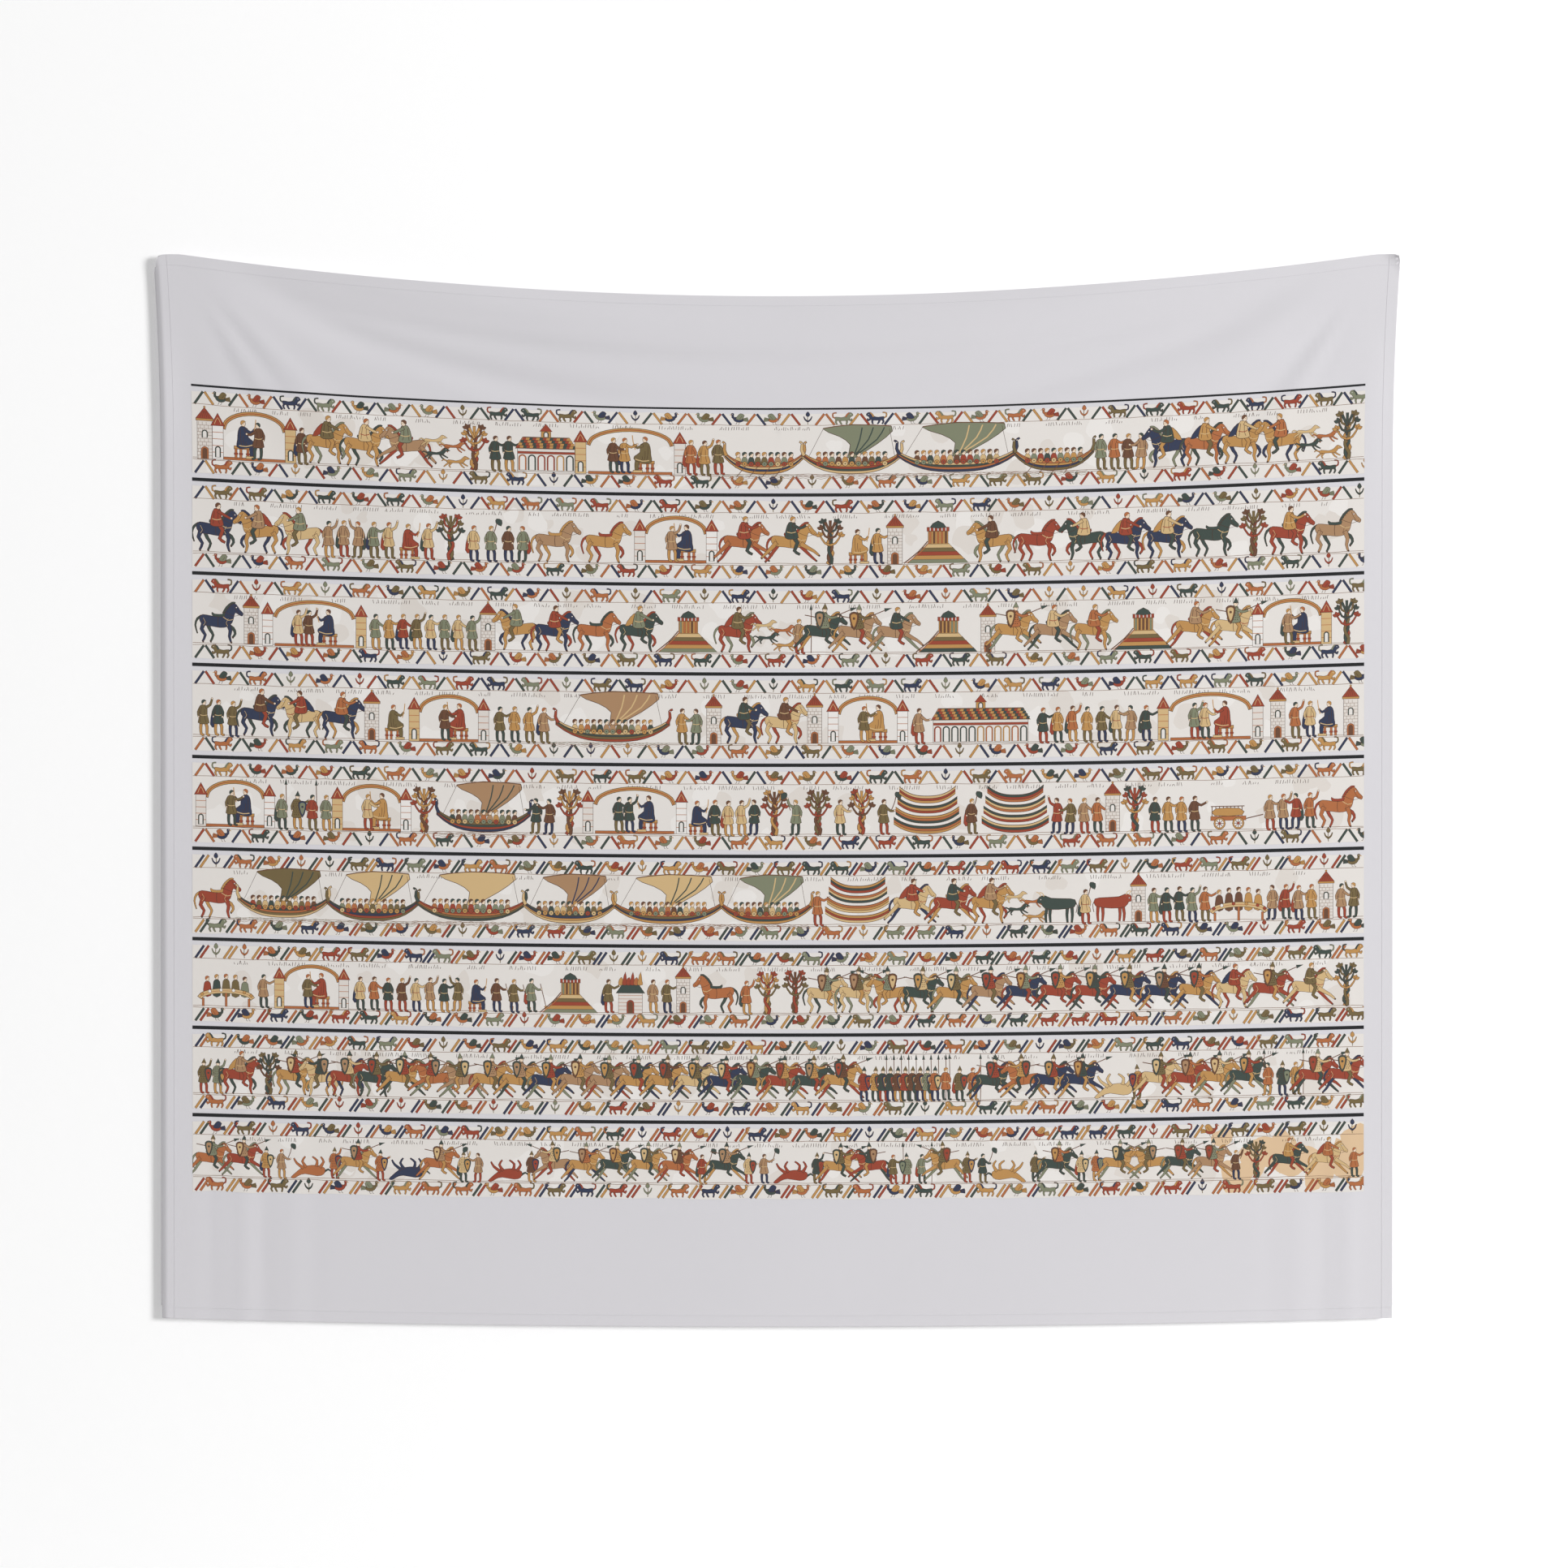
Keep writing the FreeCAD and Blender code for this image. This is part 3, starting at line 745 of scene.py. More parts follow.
def draw_rider(d, coat, gait, armed):
    mane = d.pick(*[ink for ink in ("teal", "brick", "ochre", "navy", "sage") if ink != coat])
    tunic = d.pick(*[ink for ink in CLOTHS if ink != coat])
    hose = d.pick("brick", "olive", "ochre", "teal")
    draw_horse(d.at(0, 0, HORSE_SIZE), coat, mane, gait)
    # The rider is drawn larger than the horse, and sits with the seat on its back.
    d = d.at(0, SEAT_HEIGHT * (HORSE_SIZE - RIDER_SIZE), RIDER_SIZE)
    if armed:
        d.mark([(-26, 66), (6, 62), (40, 74)], "brown", 1.3)
        d.shape([(39, 71.5), (48, 76.4), (38, 76.0)], "teal", 0.4, sharp=True)
    if not armed and d.rng.random() < 0.4:
        d.shape([(-4, 68), (-12, 62), (-19, 50), (-8, 54)], d.pick("navy", "brick", "ochre"), 0.6)
    d.limb([(0, 53), (8, 42), (4, 31), (11, 26)], hose, 5.5, 2.4)
    d.shape([(-8, 49), (0, 47), (9, 49), (6, 59), (5, 69), (-3, 70), (-7, 60)], tunic, 0.7)
    if armed:
        draw_rings(d, -6, 50, 6, 66)
    else:
        d.mark([(-3, 67), (-4, 58), (-5, 50)], "line", 0.6)
        d.mark([(2, 64), (2, 56), (4, 50)], "line", 0.6)
        d.mark([(-6, 57), (0, 55.5), (6, 57)], "straw" if tunic != "straw" else "brick", 1.0)
    reach = (20, 64) if armed else d.pick((19, 58), (20, 66), (16, 60))
    d.limb([(2, 67), (11, 62), reach], tunic, 3.8, 2.2, 0.6)
    d.dot(reach[0] + 1, reach[1] + 0.4, 1.4, "skin", 0.4, sides=6)
    cap = d.pick("teal", "olive", "sage") if armed else d.pick("brown", "ochre", "rust")
    draw_head(d, 2, 74, cap, armed)
    if armed:
        draw_kite_shield(d, -5, 60, d.pick("ochre", "brick", "straw", "tan"), d.pick("teal", "brown"))


ARMS = {
    "down": ((4, 43), (8, 35), (7, 28)),
    "point": ((4, 43), (11, 40), (20, 45)),
    "raise": ((4, 43), (11, 47), (14, 57)),
    "give": ((4, 42), (12, 36), (18, 37)),
}


def draw_figure(d, front="point", tool=None, armed=False):
    tunic = d.pick(*CLOTHS)
    hose = d.pick(*[ink for ink in ("brick", "olive", "ochre", "teal", "navy") if ink != tunic])
    if d.rng.random() < 0.35:
        d.shape([(-3, 46), (-9, 36), (-12, 16), (-5, 12), (1, 30)], d.pick("navy", "brick", "teal"), 0.6)
    hand = ARMS[front][-1]
    if tool == "spear":
        d.mark([(hand[0], 0), (hand[0] + 0.6, 34), (hand[0], 72)], "brown", 1.3)
        d.shape([(hand[0] - 2, 70), (hand[0] + 2, 70), (hand[0], 79)], "teal", 0.4, sharp=True)
    if tool == "axe":
        d.mark([(hand[0] - 5, 38), (hand[0], 50), (hand[0] + 3, 64)], "brown", 1.4)
        d.shape([(hand[0] + 2, 66), (hand[0] + 10, 64), (hand[0] + 9, 55), (hand[0] + 1, 60)], "teal", 0.5)
    if tool == "spade":
        d.mark([(hand[0] - 2, 46), (hand[0] + 3, 26), (hand[0] + 8, 6)], "brown", 1.3)
        d.shape([(hand[0] + 5, 8), (hand[0] + 11, 8), (hand[0] + 9, -1)], "ochre", 0.4)
    mirrored = [(-x, y) for x, y in ARMS["down"]]
    d.limb(mirrored, tunic, 3.6, 2.2, 0.6)
    d.dot(*mirrored[-1], 1.4, "skin", 0.4, sides=6)
    for leg in (((-3, 21), (-4, 11), (-3, 1), (1, 0)), ((3, 21), (6, 12), (6, 1), (10, 0))):
        d.limb(leg, hose, 4.4, 2.2)
    body = [(-8, 19), (0, 17), (9, 19), (6, 31), (6, 42), (3, 46), (-3, 46), (-6, 42), (-5, 31)]
    d.shape(body, tunic, 0.7)
    if armed:
        draw_rings(d, -5, 20, 6, 44)
    else:
        d.mark([(-3, 44), (-4, 32), (-5, 20)], "line", 0.6)
        d.mark([(2, 40), (2, 30), (4, 20)], "line", 0.6)
        d.mark([(-5, 31), (0, 30), (6, 31)], "straw" if tunic != "straw" else "brick", 1.0)
    d.limb(ARMS[front], tunic, 3.8, 2.2, 0.6)
    d.dot(*hand, 1.4, "skin", 0.4, sides=6)
    cap = d.pick("teal", "olive") if armed else d.pick("brown", "ochre", "rust", "teal")
    draw_head(d, 1, 50.5, cap, armed)
    if tool == "shield":
        draw_kite_shield(d, 9, 32, d.pick("ochre", "brick", "sage", "straw"), d.pick("teal", "navy"))


def draw_seated(d):
    """Someone in a long robe on a bench with turned legs, holding a short rod."""
    robe = d.pick("olive", "brick", "navy", "ochre")
    d.box(-13, 13, 12, 17, "ochre")
    for x in (-12, -5, 5):
        d.box(x, 0, x + 3, 13, "rust", 0.5)
        d.box(x - 1, 5, x + 4, 7, "brick", 0.4)
    d.box(4, 0, 17, 3, "straw")
    d.limb([(10, 22), (12, 12), (12, 4)], robe, 6, 4.5)
    body = [(-9, 16), (0, 14), (14, 18), (15, 24), (7, 30), (6, 42), (-3, 45), (-7, 38), (-8, 26)]
    d.shape(body, robe, 0.7)
    for shift in (0, 4, 8):
        d.mark([(-4 + shift, 40 - shift * 2), (-4 + shift, 28 - shift), (-2 + shift, 17)], "line", 0.6)
    d.mark([(-6, 18), (4, 17), (14, 20)], "straw", 1.3)
    d.limb([(3, 41), (11, 37), (16, 42)], robe, 3.8, 2.2, 0.6)
    d.mark([(14, 34), (17, 46), (18, 56)], "ochre", 1.3)
    draw_head(d, 0, 49.5, d.pick("ochre", "rust", "brown"))


def draw_tree(d, tall=70):
    inks = d.rng.sample(["olive", "brick", "teal", "ochre", "brown"], 3)
    sway = [d.rng.uniform(2.5, 5.5) for _ in range(3)]
    for strand in range(3):
        side = 1 if strand % 2 else -1
        line = [
            (side * sway[strand] * math.cos(k * 1.6 + strand), tall * 0.72 * k / 6) for k in range(7)
        ]
        d.limb(line, inks[strand], 4.6, 2.4, 0.7)
    for side in (-1, 1):
        for level, ink in ((0.42, inks[0]), (0.58, inks[1]), (0.72, inks[2])):
            y = tall * level
            tip = (side * (22 - 16 * level), y + tall * 0.20)
            d.limb([(0, y), (side * 8, y + 3), tip], ink, 3.0, 1.6, 0.6)
            for spread in (-0.9, 0.0, 0.9):
                angle = math.pi / 2 - side * spread - side * 0.35
                leaf = complex(*tip) + 7.5 * np.exp(1j * angle)
                base = complex(*tip)
                across = 2.4j * np.exp(1j * angle)
                middle = (base + leaf) / 2
                corners = (base, middle + across, leaf, middle - across)
                d.shape([(p.real, p.imag) for p in corners], ink, 0.55)
    for spread in (-0.7, 0.0, 0.7):
        leaf = 0.80j * tall + tall * 0.17 * np.exp(1j * (math.pi / 2 + spread))
        branch = [(0, tall * 0.70), (leaf.real * 0.6, tall * 0.84), (leaf.real, leaf.imag)]
        d.limb(branch, inks[1], 2.6, 3.6, 0.6)


def draw_tower(d, width=22, tall=58, wall="linen_shade", roof="brick"):
    half = width / 2
    d.box(-half, 0, half, tall, wall)
    for row in range(int(tall / 5)):
        y = row * 5.0
        d.bar((-half, y), (half, y), "fine", 0.5)
        for step in range(int(width / 6)):
            x = -half + 3 * (row % 2) + step * 6 + 1.5
            d.bar((x, y), (x, y + 5), "fine", 0.5)
    d.arch(0, 0, width * 0.5, 18, "rust", 1.8, "brown")
    d.arch(0, tall * 0.55, width * 0.38, 11, "teal", 1.4, "linen")
    d.box(-half - 2, tall - 1, half + 2, tall + 2, "ochre")
    d.shape([(-half - 2, tall + 2), (half + 2, tall + 2), (0, tall + 18)], roof, 0.7, sharp=True)
    for step in range(-2, 3):
        d.bar((step * half / 3, tall + 3), (step * half / 9, tall + 13), "line", 0.5)
    d.dot(0, tall + 19, 1.5, "ochre", 0.4, sides=6)


def draw_tiles(d, x0, x1, y0, y1, inks):
    """A roof's tiles: rows of slanting strips in turn."""
    rows = max(int((y1 - y0) / 4), 1)
    for row in range(rows):
        low = y0 + (y1 - y0) * row / rows
        high = y0 + (y1 - y0) * (row + 1) / rows
        cut = 3.0 * row
        count = max(int((x1 - x0 - 2 * cut) / 5), 1)
        for step in range(count):
            left = x0 + cut + (x1 - x0 - 2 * cut) * step / count
            right = x0 + cut + (x1 - x0 - 2 * cut) * (step + 1) / count
            ink = inks[(step + row) % len(inks)]
            lower, upper = np.array([left, right]) + 1j * low, np.array([right + 1, left + 1]) + 1j * high
            outline = np.concatenate([lower, upper])
            d.put(outline, ink)
    for row in range(rows + 1):
        y = y0 + (y1 - y0) * row / rows
        cut = 3.0 * row
        d.bar((x0 + cut, y), (x1 - cut, y), "line", 0.6)


def draw_hall(d, width=110, people=1):
    """A hall open at the front under a long arch, between two small towers."""
    half = width / 2
    turn = [(half * 0.84 * math.cos(a), 46 + 25 * math.sin(a)) for a in np.linspace(0, math.pi, 9)]
    d.limb(turn, "ochre", 5.0, 5.0, 0.8)
    d.mark([(x * 0.995, y) for x, y in turn], "brick", 1.2)
    d.box(-half * 0.84, 0, half * 0.84, 3.5, "rust")
    for side in (-1, 1):
        d.box(side * half - 8, 0, side * half + 8, 50, d.pick("linen_shade", "linen_light", "straw"))
        for y in (10, 20, 30, 40):
            d.bar((side * half - 8, y), (side * half + 8, y), "rust", 0.9)
        d.arch(side * half, 3, 8, 16, "teal", 1.5, "linen")
        roof = [(side * half - 10, 50), (side * half + 10, 50), (side * half, 68)]
        d.shape(roof, "brick", 0.7, sharp=True)
        d.mark([(side * half - 5, 52), (side * half, 62), (side * half + 5, 52)], "straw", 0.8)
    draw_seated(d.at(half * 0.30, 3, 1.06, -1))
    for step in range(people):
        draw_figure(d.at(-half * 0.12 - 17 * step, 3), front=d.pick("point", "give", "raise"))


def draw_church(d, width=86, tiles=("brick", "ochre", "teal")):
    """A nave with a row of arches, a tiled roof and a small tower."""
    half = width / 2
    d.box(-half, 0, half, 36, "linen_shade")
    count = max(int(width / 13), 2)
    for step in range(count):
        x = -half + width * (step + 0.5) / count
        d.arch(x, 2, width / count * 0.78, 24, d.pick("rust", "ochre", "teal", "brick"), 1.8, "linen")
    d.box(-half, 28, half, 31, "brick", 0.5)
    d.shape([(-half - 3, 36), (half + 3, 36), (half - 8, 54), (8 - half, 54)], "tan", 0.7, sharp=True)
    draw_tiles(d, -half - 2, half + 2, 36.5, 53.5, tiles)
    d.box(-7, 54, 7, 64, "ochre")
    d.arch(0, 55, 7, 8, "teal", 1.2, "linen")
    d.shape([(-9, 64), (9, 64), (0, 75)], "brick", 0.6, sharp=True)


def draw_castle(d):
    """A striped earth mound with a timber tower and a stair."""
    steps = 5
    inks = [d.pick("sage", "teal"), "ochre", "brick", "olive", "straw"]
    for step in range(steps):
        half = 46 - step * 6
        y = step * 6
        tier = [(-half, y), (half, y), (half - 6, y + 6.4), (6 - half, y + 6.4)]
        d.shape(tier, inks[step], 0.6, sharp=True)
    d.box(-15, 30, 15, 50, "ochre")
    for x in range(-12, 13, 6):
        d.box(x - 1.4, 31, x + 1.4, 49, d.pick("rust", "brown", "sage"), 0.4)
    for x in range(-15, 16, 6):
        d.box(x - 1.8, 50, x + 1.8, 56, "brick", 0.5)
    d.shape([(-12, 56), (12, 56), (0, 66)], "teal", 0.6)
    d.mark([(-52, 0), (-30, 18), (-16, 34)], "brown", 1.8)
    d.mark([(-48, 0), (-27, 17), (-13, 33)], "rust", 1.2)


def draw_ship(d, length=150, sail=True, oars=False):
    """A clinker boat: strakes in turn, raised ends, heads and shields over the rail, and a sail."""
    half = length / 2
    x = np.linspace(-half, half, 15)
    bottom = 2 + 26 * np.abs(x / half) ** 2.8
    rail = 16 + 20 * np.abs(x / half) ** 3.0
    if sail:
        ink = d.pick("ochre", "olive", "brick", "straw", "sage", "tan")
        trim = d.pick("brick", "teal", "straw", "navy")
        d.bar((0, 14), (0, 80), "brown", 2.0)
        reach = length * 0.36
        sail_edge = [(-reach * 0.8, 74), (0, 80), (reach * 1.1, 77), (reach * 0.95, 60), (reach * 0.45, 40),
                     (4, 27), (-6, 28), (-2, 48), (-reach * 0.35, 62)]
        d.shape(sail_edge, ink, 0.9)
        for share in (0.22, 0.46, 0.70):
            d.mark([(reach * share * 1.3, 76), (reach * share, 56), (2 + 8 * share, 32)], trim, 2.0)
        d.mark([(-reach * 0.8, 75), (0, 81), (reach * 1.1, 78)], "brown", 1.5)
        d.bar((-reach * 0.8, 74), (-half * 0.86, 30), "line", 0.6)
        d.bar((reach * 1.05, 74), (half * 0.86, 30), "line", 0.6)
    crew = int(length / 13)
    for step in range(crew):
        place = (step - (crew - 1) / 2) * 10.0
        d.shape([(place - 4, 12), (place - 4, 25), (place, 29), (place + 4, 25), (place + 4, 12)],
                d.pick(*CLOTHS), 0.5)
        draw_head(d, place, 32.5, d.pick("brown", "ochre", "teal"))
    strakes = 4
    inks = d.rng.sample(["brick", "ochre", "teal", "rust", "straw", "navy", "olive"], strakes)
    whole = np.concatenate([x + 1j * bottom, (x + 1j * rail)[::-1]])
    d.put(grow(whole, 0.9), "line")
    for step in range(strakes):
        low = bottom + (rail - bottom) * step / strakes
        high = bottom + (rail - bottom) * (step + 1) / strakes
        d.put(np.concatenate([x + 1j * low, (x + 1j * high)[::-1]]), inks[step])
    for step in range(1, strakes):
        d.mark(list(x + 1j * (bottom + (rail - bottom) * step / strakes)), "line", 0.7)
    for side in (-1, 1):
        end = side * half
        d.limb([(end * 0.96, 31), (end * 1.01, 40), (end * 1.00, 50), (end * 1.05, 53)], inks[0], 4.6, 2.0)
        d.dot(end * 1.01, 50, 0.9, "linen", 0.4, sides=6)
    shields = int(length / 13)
    for step in range(shields):
        place = (step - (shields - 1) / 2) * 10
        d.dot(place, 17.5, 3.6, d.pick("straw", "brick", "sage", "ochre"), 0.6)
        d.dot(place, 17.5, 1.1, "teal", 0, sides=6)
    if oars:
        for step in range(4):
            place = (step - 1.5) * length * 0.16
            d.bar((place, 14), (place - 14, -4), "brown", 1.1)
    for row in range(3):
        y = -1 - row * 2.6
        wave = [(-half * 1.1 + k * 9, y + (1.4 if k % 2 else -1.0)) for k in range(int(half * 2.2 / 9))]
        d.mark(wave, d.pick("fine", "fine", "sage"), 0.6)


def draw_boats_stacked(d):
    """Four empty boats, drawn up one above another."""
    for level in range(4):
        half = 54 - level * 3
        x = np.linspace(-half, half, 11)
        low = 2 + level * 16 + 15 * np.abs(x / half) ** 2.6
        for step, ink in enumerate(d.rng.sample(["brick", "ochre", "teal", "straw", "rust"], 3)):
            stripe = [x + 1j * (low + step * 3.8), (x + 1j * (low + step * 3.8 + 3.8))[::-1]]
            d.put(np.concatenate(stripe), ink)
            d.mark(list(x + 1j * (low + step * 3.8)), "line", 0.7)
        d.mark(list(x + 1j * (low + 11.4)), "line", 1.0)


def draw_hound(d, ink):
    d.limb([(-12, 9), (-18, 12), (-21, 10)], ink, 1.8, 0.9, 0.4)
    d.limbs((((-9, 8), (-15, 4), (-18, 1)), ((-6, 8), (-10, 3), (-8, 0)),
             ((8, 9), (14, 5), (18, 3)), ((6, 8), (9, 3), (13, 0))), ink, 2.4, 1.1, 0.4)
    body = [(-13, 8), (-11, 12), (0, 10.5), (8, 13), (12, 17), (15, 18), (21, 14), (15, 13), (11, 8)]
    d.shape(body + [(2, 7.5)], ink, 0.5)
    d.dot(15.4, 15.4, 0.5, "linen", sides=5)


def draw_ox(d, ink):
    d.limbs((((-22, 26), (-23, 13), (-22, 1)), ((-15, 26), (-14, 13), (-15, 1)),
             ((13, 26), (14, 13), (13, 1)), ((18, 27), (21, 13), (20, 1))), ink, 5.0, 2.4, 0.6)
    d.mark([(-26, 36), (-31, 28), (-29, 16)], "line", 1.1)
    d.shape([(-26, 26), (-27, 37), (-10, 39), (12, 40), (22, 44), (31, 42), (35, 34), (28, 32), (22, 24),
             (0, 22)], ink, 0.7)
    for side in (24, 29):
        d.mark([(side, 43), (side + 2, 48), (side + 7, 50)], "straw", 1.3)
    d.dot(29, 38, 0.9, "linen", 0.4, sides=6)


def draw_table(d, width=90):
    """A curved table with dishes, and people sitting behind it."""
    half = width / 2
    count = int(width / 17)
    for step in range(count):
        place = (step - (count - 1) / 2) * 16
        lift = 8 * (1 - (place / half) ** 2)
        shoulders = [(place - 5, 34 + lift), (place, 37 + lift), (place + 5, 34 + lift)]
        d.shape([(place - 6, 18)] + shoulders + [(place + 6, 18)], d.pick(*CLOTHS), 0.6)
        draw_head(d, place, 42 + lift, d.pick("brown", "ochre", "rust"))
    arc = [(half * math.cos(a), 13 + 13 * math.sin(a)) for a in np.linspace(0.05, math.pi - 0.05, 9)]
    d.limb(arc, "straw", 7, 7, 0.8)
    d.mark(arc, "rust", 0.8)
    for step in range(count + 1):
        angle = math.pi * (step + 0.7) / (count + 1.6)
        ink = d.pick("ochre", "brick", "linen_light")
        d.dot(half * math.cos(angle), 14.5 + 13 * math.sin(angle), 2.6, ink, 0.5)
    for x in (-half + 6, 0, half - 6):
        d.box(x - 1.6, 0, x + 1.6, 13 if x else 22, "rust", 0.5)


def draw_cart(d):
    load = d.pick("ochre", "tan", "brick")
    d.box(-34, 14, 22, 20, "rust")
    for step in range(9):
        x = -32 + step * 6
        d.bar((x, 20), (x, 36), "brown", 1.4)
    d.bar((-34, 36), (20, 36), "brown", 1.4)
    d.shape([(-28, 22), (-26, 32), (12, 32), (16, 22)], load, 0.7)
    d.bar((22, 16), (50, 22), "brown", 1.6)
    for x in (-20, 10):
        d.dot(x, 9, 9, "ochre", 0.7, sides=14)
        d.dot(x, 9, 6.6, "linen", 0.3, sides=14)
        for turn in range(4):
            spoke = 7.0 * np.exp(1j * math.pi * turn / 4)
            hub = complex(x, 9)
            d.mark([hub - spoke, hub + spoke], "brown", 1.0)
        d.dot(x, 9, 2.0, "brick", 0.4, sides=8)


def draw_burning_house(d):
    d.box(-20, 0, 20, 34, "linen_shade")
    for row in range(6):
        d.bar((-20, row * 6), (20, row * 6), "rust", 0.7)
    d.arch(0, 0, 12, 22, "brick", 2.0, "brown")
    d.shape([(-24, 34), (24, 34), (14, 48), (-14, 48)], "teal", 0.7, sharp=True)
    for step in range(6):
        x = -16 + step * 6.5
        tall = 60 + 9 * (step % 2)
        flame = [(x - 4, 48), (x - 3, 56), (x + 1, tall), (x + 3, 55), (x + 4, 48)]
        d.shape(flame, d.pick("brick", "ochre", "rust"), 0.5)


def draw_bird(d, ink, trim):
    for x in (-1, 3):
        d.mark([(x, 5), (x + 0.6, 0.4), (x + 2.6, 0.2)], "line", 0.6)
    for spread in (-0.30, 0.0, 0.30):
        tip = complex(-5, 7) + 9 * np.exp(1j * (math.pi + spread - 0.15))
        d.limb([(-4, 7.5), (tip.real, tip.imag)], trim, 2.6, 1.6, 0.4)
    d.limb([(5, 9), (9, 12), (9, 16)], ink, 3.6, 2.4, 0.5)
    d.shape([(-7, 7), (-2, 11), (5, 12), (8, 8), (3, 4), (-3, 4)], ink, 0.5)
    d.dot(9.4, 16.6, 2.0, ink, 0.5, sides=7)
    d.bar((11, 16.6), (13.6, 15.6), "ochre", 1.1)
    d.shape([(-4, 8), (-8, 15), (-3, 18), (1, 15), (4, 9)], trim, 0.5)
    d.bar((-5, 14), (-1, 9), "line", 0.5)
    d.dot(9.8, 17, 0.5, "linen", sides=5)


def draw_beast(d, ink, trim):
    d.limb([(-9, 10), (-14, 12), (-14, 18), (-9, 19)], trim, 1.8, 1.4, 0.4)
    d.limbs((((-8, 8), (-10, 4), (-8, 0)), ((-4, 7), (-3, 3), (-1, 0)),
             ((6, 8), (7, 4), (6, 0)), ((9, 9), (13, 6), (14, 9))), ink, 2.8, 1.5, 0.45)
    d.shape([(-10, 7), (-10, 12), (-2, 11), (5, 13), (8, 18), (13, 19), (16, 15), (12, 12), (9, 7), (0, 6)],
            ink, 0.5)
    d.limb([(5, 12), (7, 16), (10, 19)], trim, 2.4, 1.4, 0.3)
    d.dot(12.4, 16, 0.6, "linen", sides=5)


def draw_plant(d, ink, trim):
    d.mark([(0, 0), (0.6, 8), (0, 16)], ink, 1.1)
    for side in (-1, 1):
        d.limb([(0, 5), (side * 4, 8), (side * 6, 13)], trim, 2.4, 0.8, 0.4)
    d.shape([(0, 13), (-3, 16), (0, 21), (3, 16)], trim, 0.45)


# ---------------------------------------------------------------- the frieze, band by band

FRIEZE_HALF = 969.0
RULE_TOPS = (207.0, 359.0, 512.0, 661.0, 811.0, 960.0, 1107.0, 1251.0, 1393.0)
FRIEZE_END = 1520.0
EDGE_BAND = 23.0
# The space left at each end of a band, and the height of field that the motifs are drawn for.
END_MARGIN = 6
DRAWN_HEIGHT = 84


def rider(gait="walk", armed=False):
    return lambda d: draw_rider(d, d.pick(*COATS), gait, armed)


def person(front=None, tool=None, armed=False):
    return lambda d: draw_figure(d, front=front or d.pick(*ARMS), tool=tool, armed=armed)


def thing(draw, *args):
    return lambda d: draw(d, *args)


def hounds(d):
    for x, y, ink in ((-16, 34, "straw"), (14, 26, "rust"), (-12, 14, "teal"), (18, 2, "ochre")):
        draw_hound(d.at(x, y), ink)


def steed(d):
    draw_horse(d.at(0, 0, HORSE_SIZE), d.pick(*COATS), d.pick("teal", "brick", "ochre"))


def fallen_horse(d):
    d = d.at(0, 2, 0.9, d.pick(-1, 1))
    coat = d.pick(*COATS)
    d.limb([(-34, 12), (-44, 18), (-52, 12)], "teal", 4, 1.4)
    body = [(-34, 8), (-36, 20), (-20, 26), (4, 24), (16, 18), (28, 8), (36, 0), (30, -2), (20, 4), (6, 8)]
    d.shape(body + [(-20, 4)], coat)
    d.limbs((((-26, 22), (-34, 34), (-28, 44)), ((-18, 24), (-20, 36), (-10, 44)),
             ((4, 22), (12, 34), (6, 44)), ((10, 20), (24, 30), (30, 40))), coat, 6, 2.2)


def wall_of_shields(d):
    """Nine soldiers side by side behind their shields."""
    for step in range(9):
        soldier = d.at((step - 4) * 13, 0)
        draw_figure(soldier, tool="spear", armed=True)
        draw_kite_shield(soldier, 6, 32, d.pick("ochre", "brick", "sage", "straw", "tan"),
                         d.pick("teal", "navy", "brick"))


def ox(d):
    draw_ox(d, d.pick("tan", "brick", "ochre", "teal"))


# What draws each motif, and the width in mm that it takes along a band. Neighbours overlap a little.
MOTIFS = {
    "rider": (rider(), 58), "charge": (rider("gallop"), 66), "knight": (rider("gallop", True), 52),
    "guide": (rider("walk", True), 48), "man": (person(), 21), "axeman": (person(tool="axe"), 27),
    "spearman": (person(tool="spear"), 23), "digger": (person("give", "spade"), 26),
    "soldier": (person(tool="shield", armed=True), 25), "wall_of_shields": (wall_of_shields, 122),
    "hall": (thing(draw_hall), 124), "long_hall": (thing(draw_hall, 150, 2), 164),
    "church": (thing(draw_church), 94), "long_church": (thing(draw_church, 150), 156),
    "tower": (thing(draw_tower), 28), "castle": (draw_castle, 92), "fire": (draw_burning_house, 46),
    "ship": (thing(draw_ship), 146), "rowed": (thing(draw_ship, 120, False, True), 122),
    "long_ship": (thing(draw_ship, 180), 176), "boats": (draw_boats_stacked, 112),
    "seated": (thing(draw_seated), 34), "table": (thing(draw_table), 90), "cart": (draw_cart, 98),
    "tree": (thing(draw_tree), 42), "steed": (steed, 70), "fallen": (fallen_horse, 62), "ox": (ox, 60),
    "hounds": (hounds, 52),
}
CROWD = "man " * 4
GUARD = "spearman soldier spearman "
CAVALRY = "knight " * 4
COLUMN = "guide " * 4
BATTLE = "knight soldier axeman fallen soldier knight "
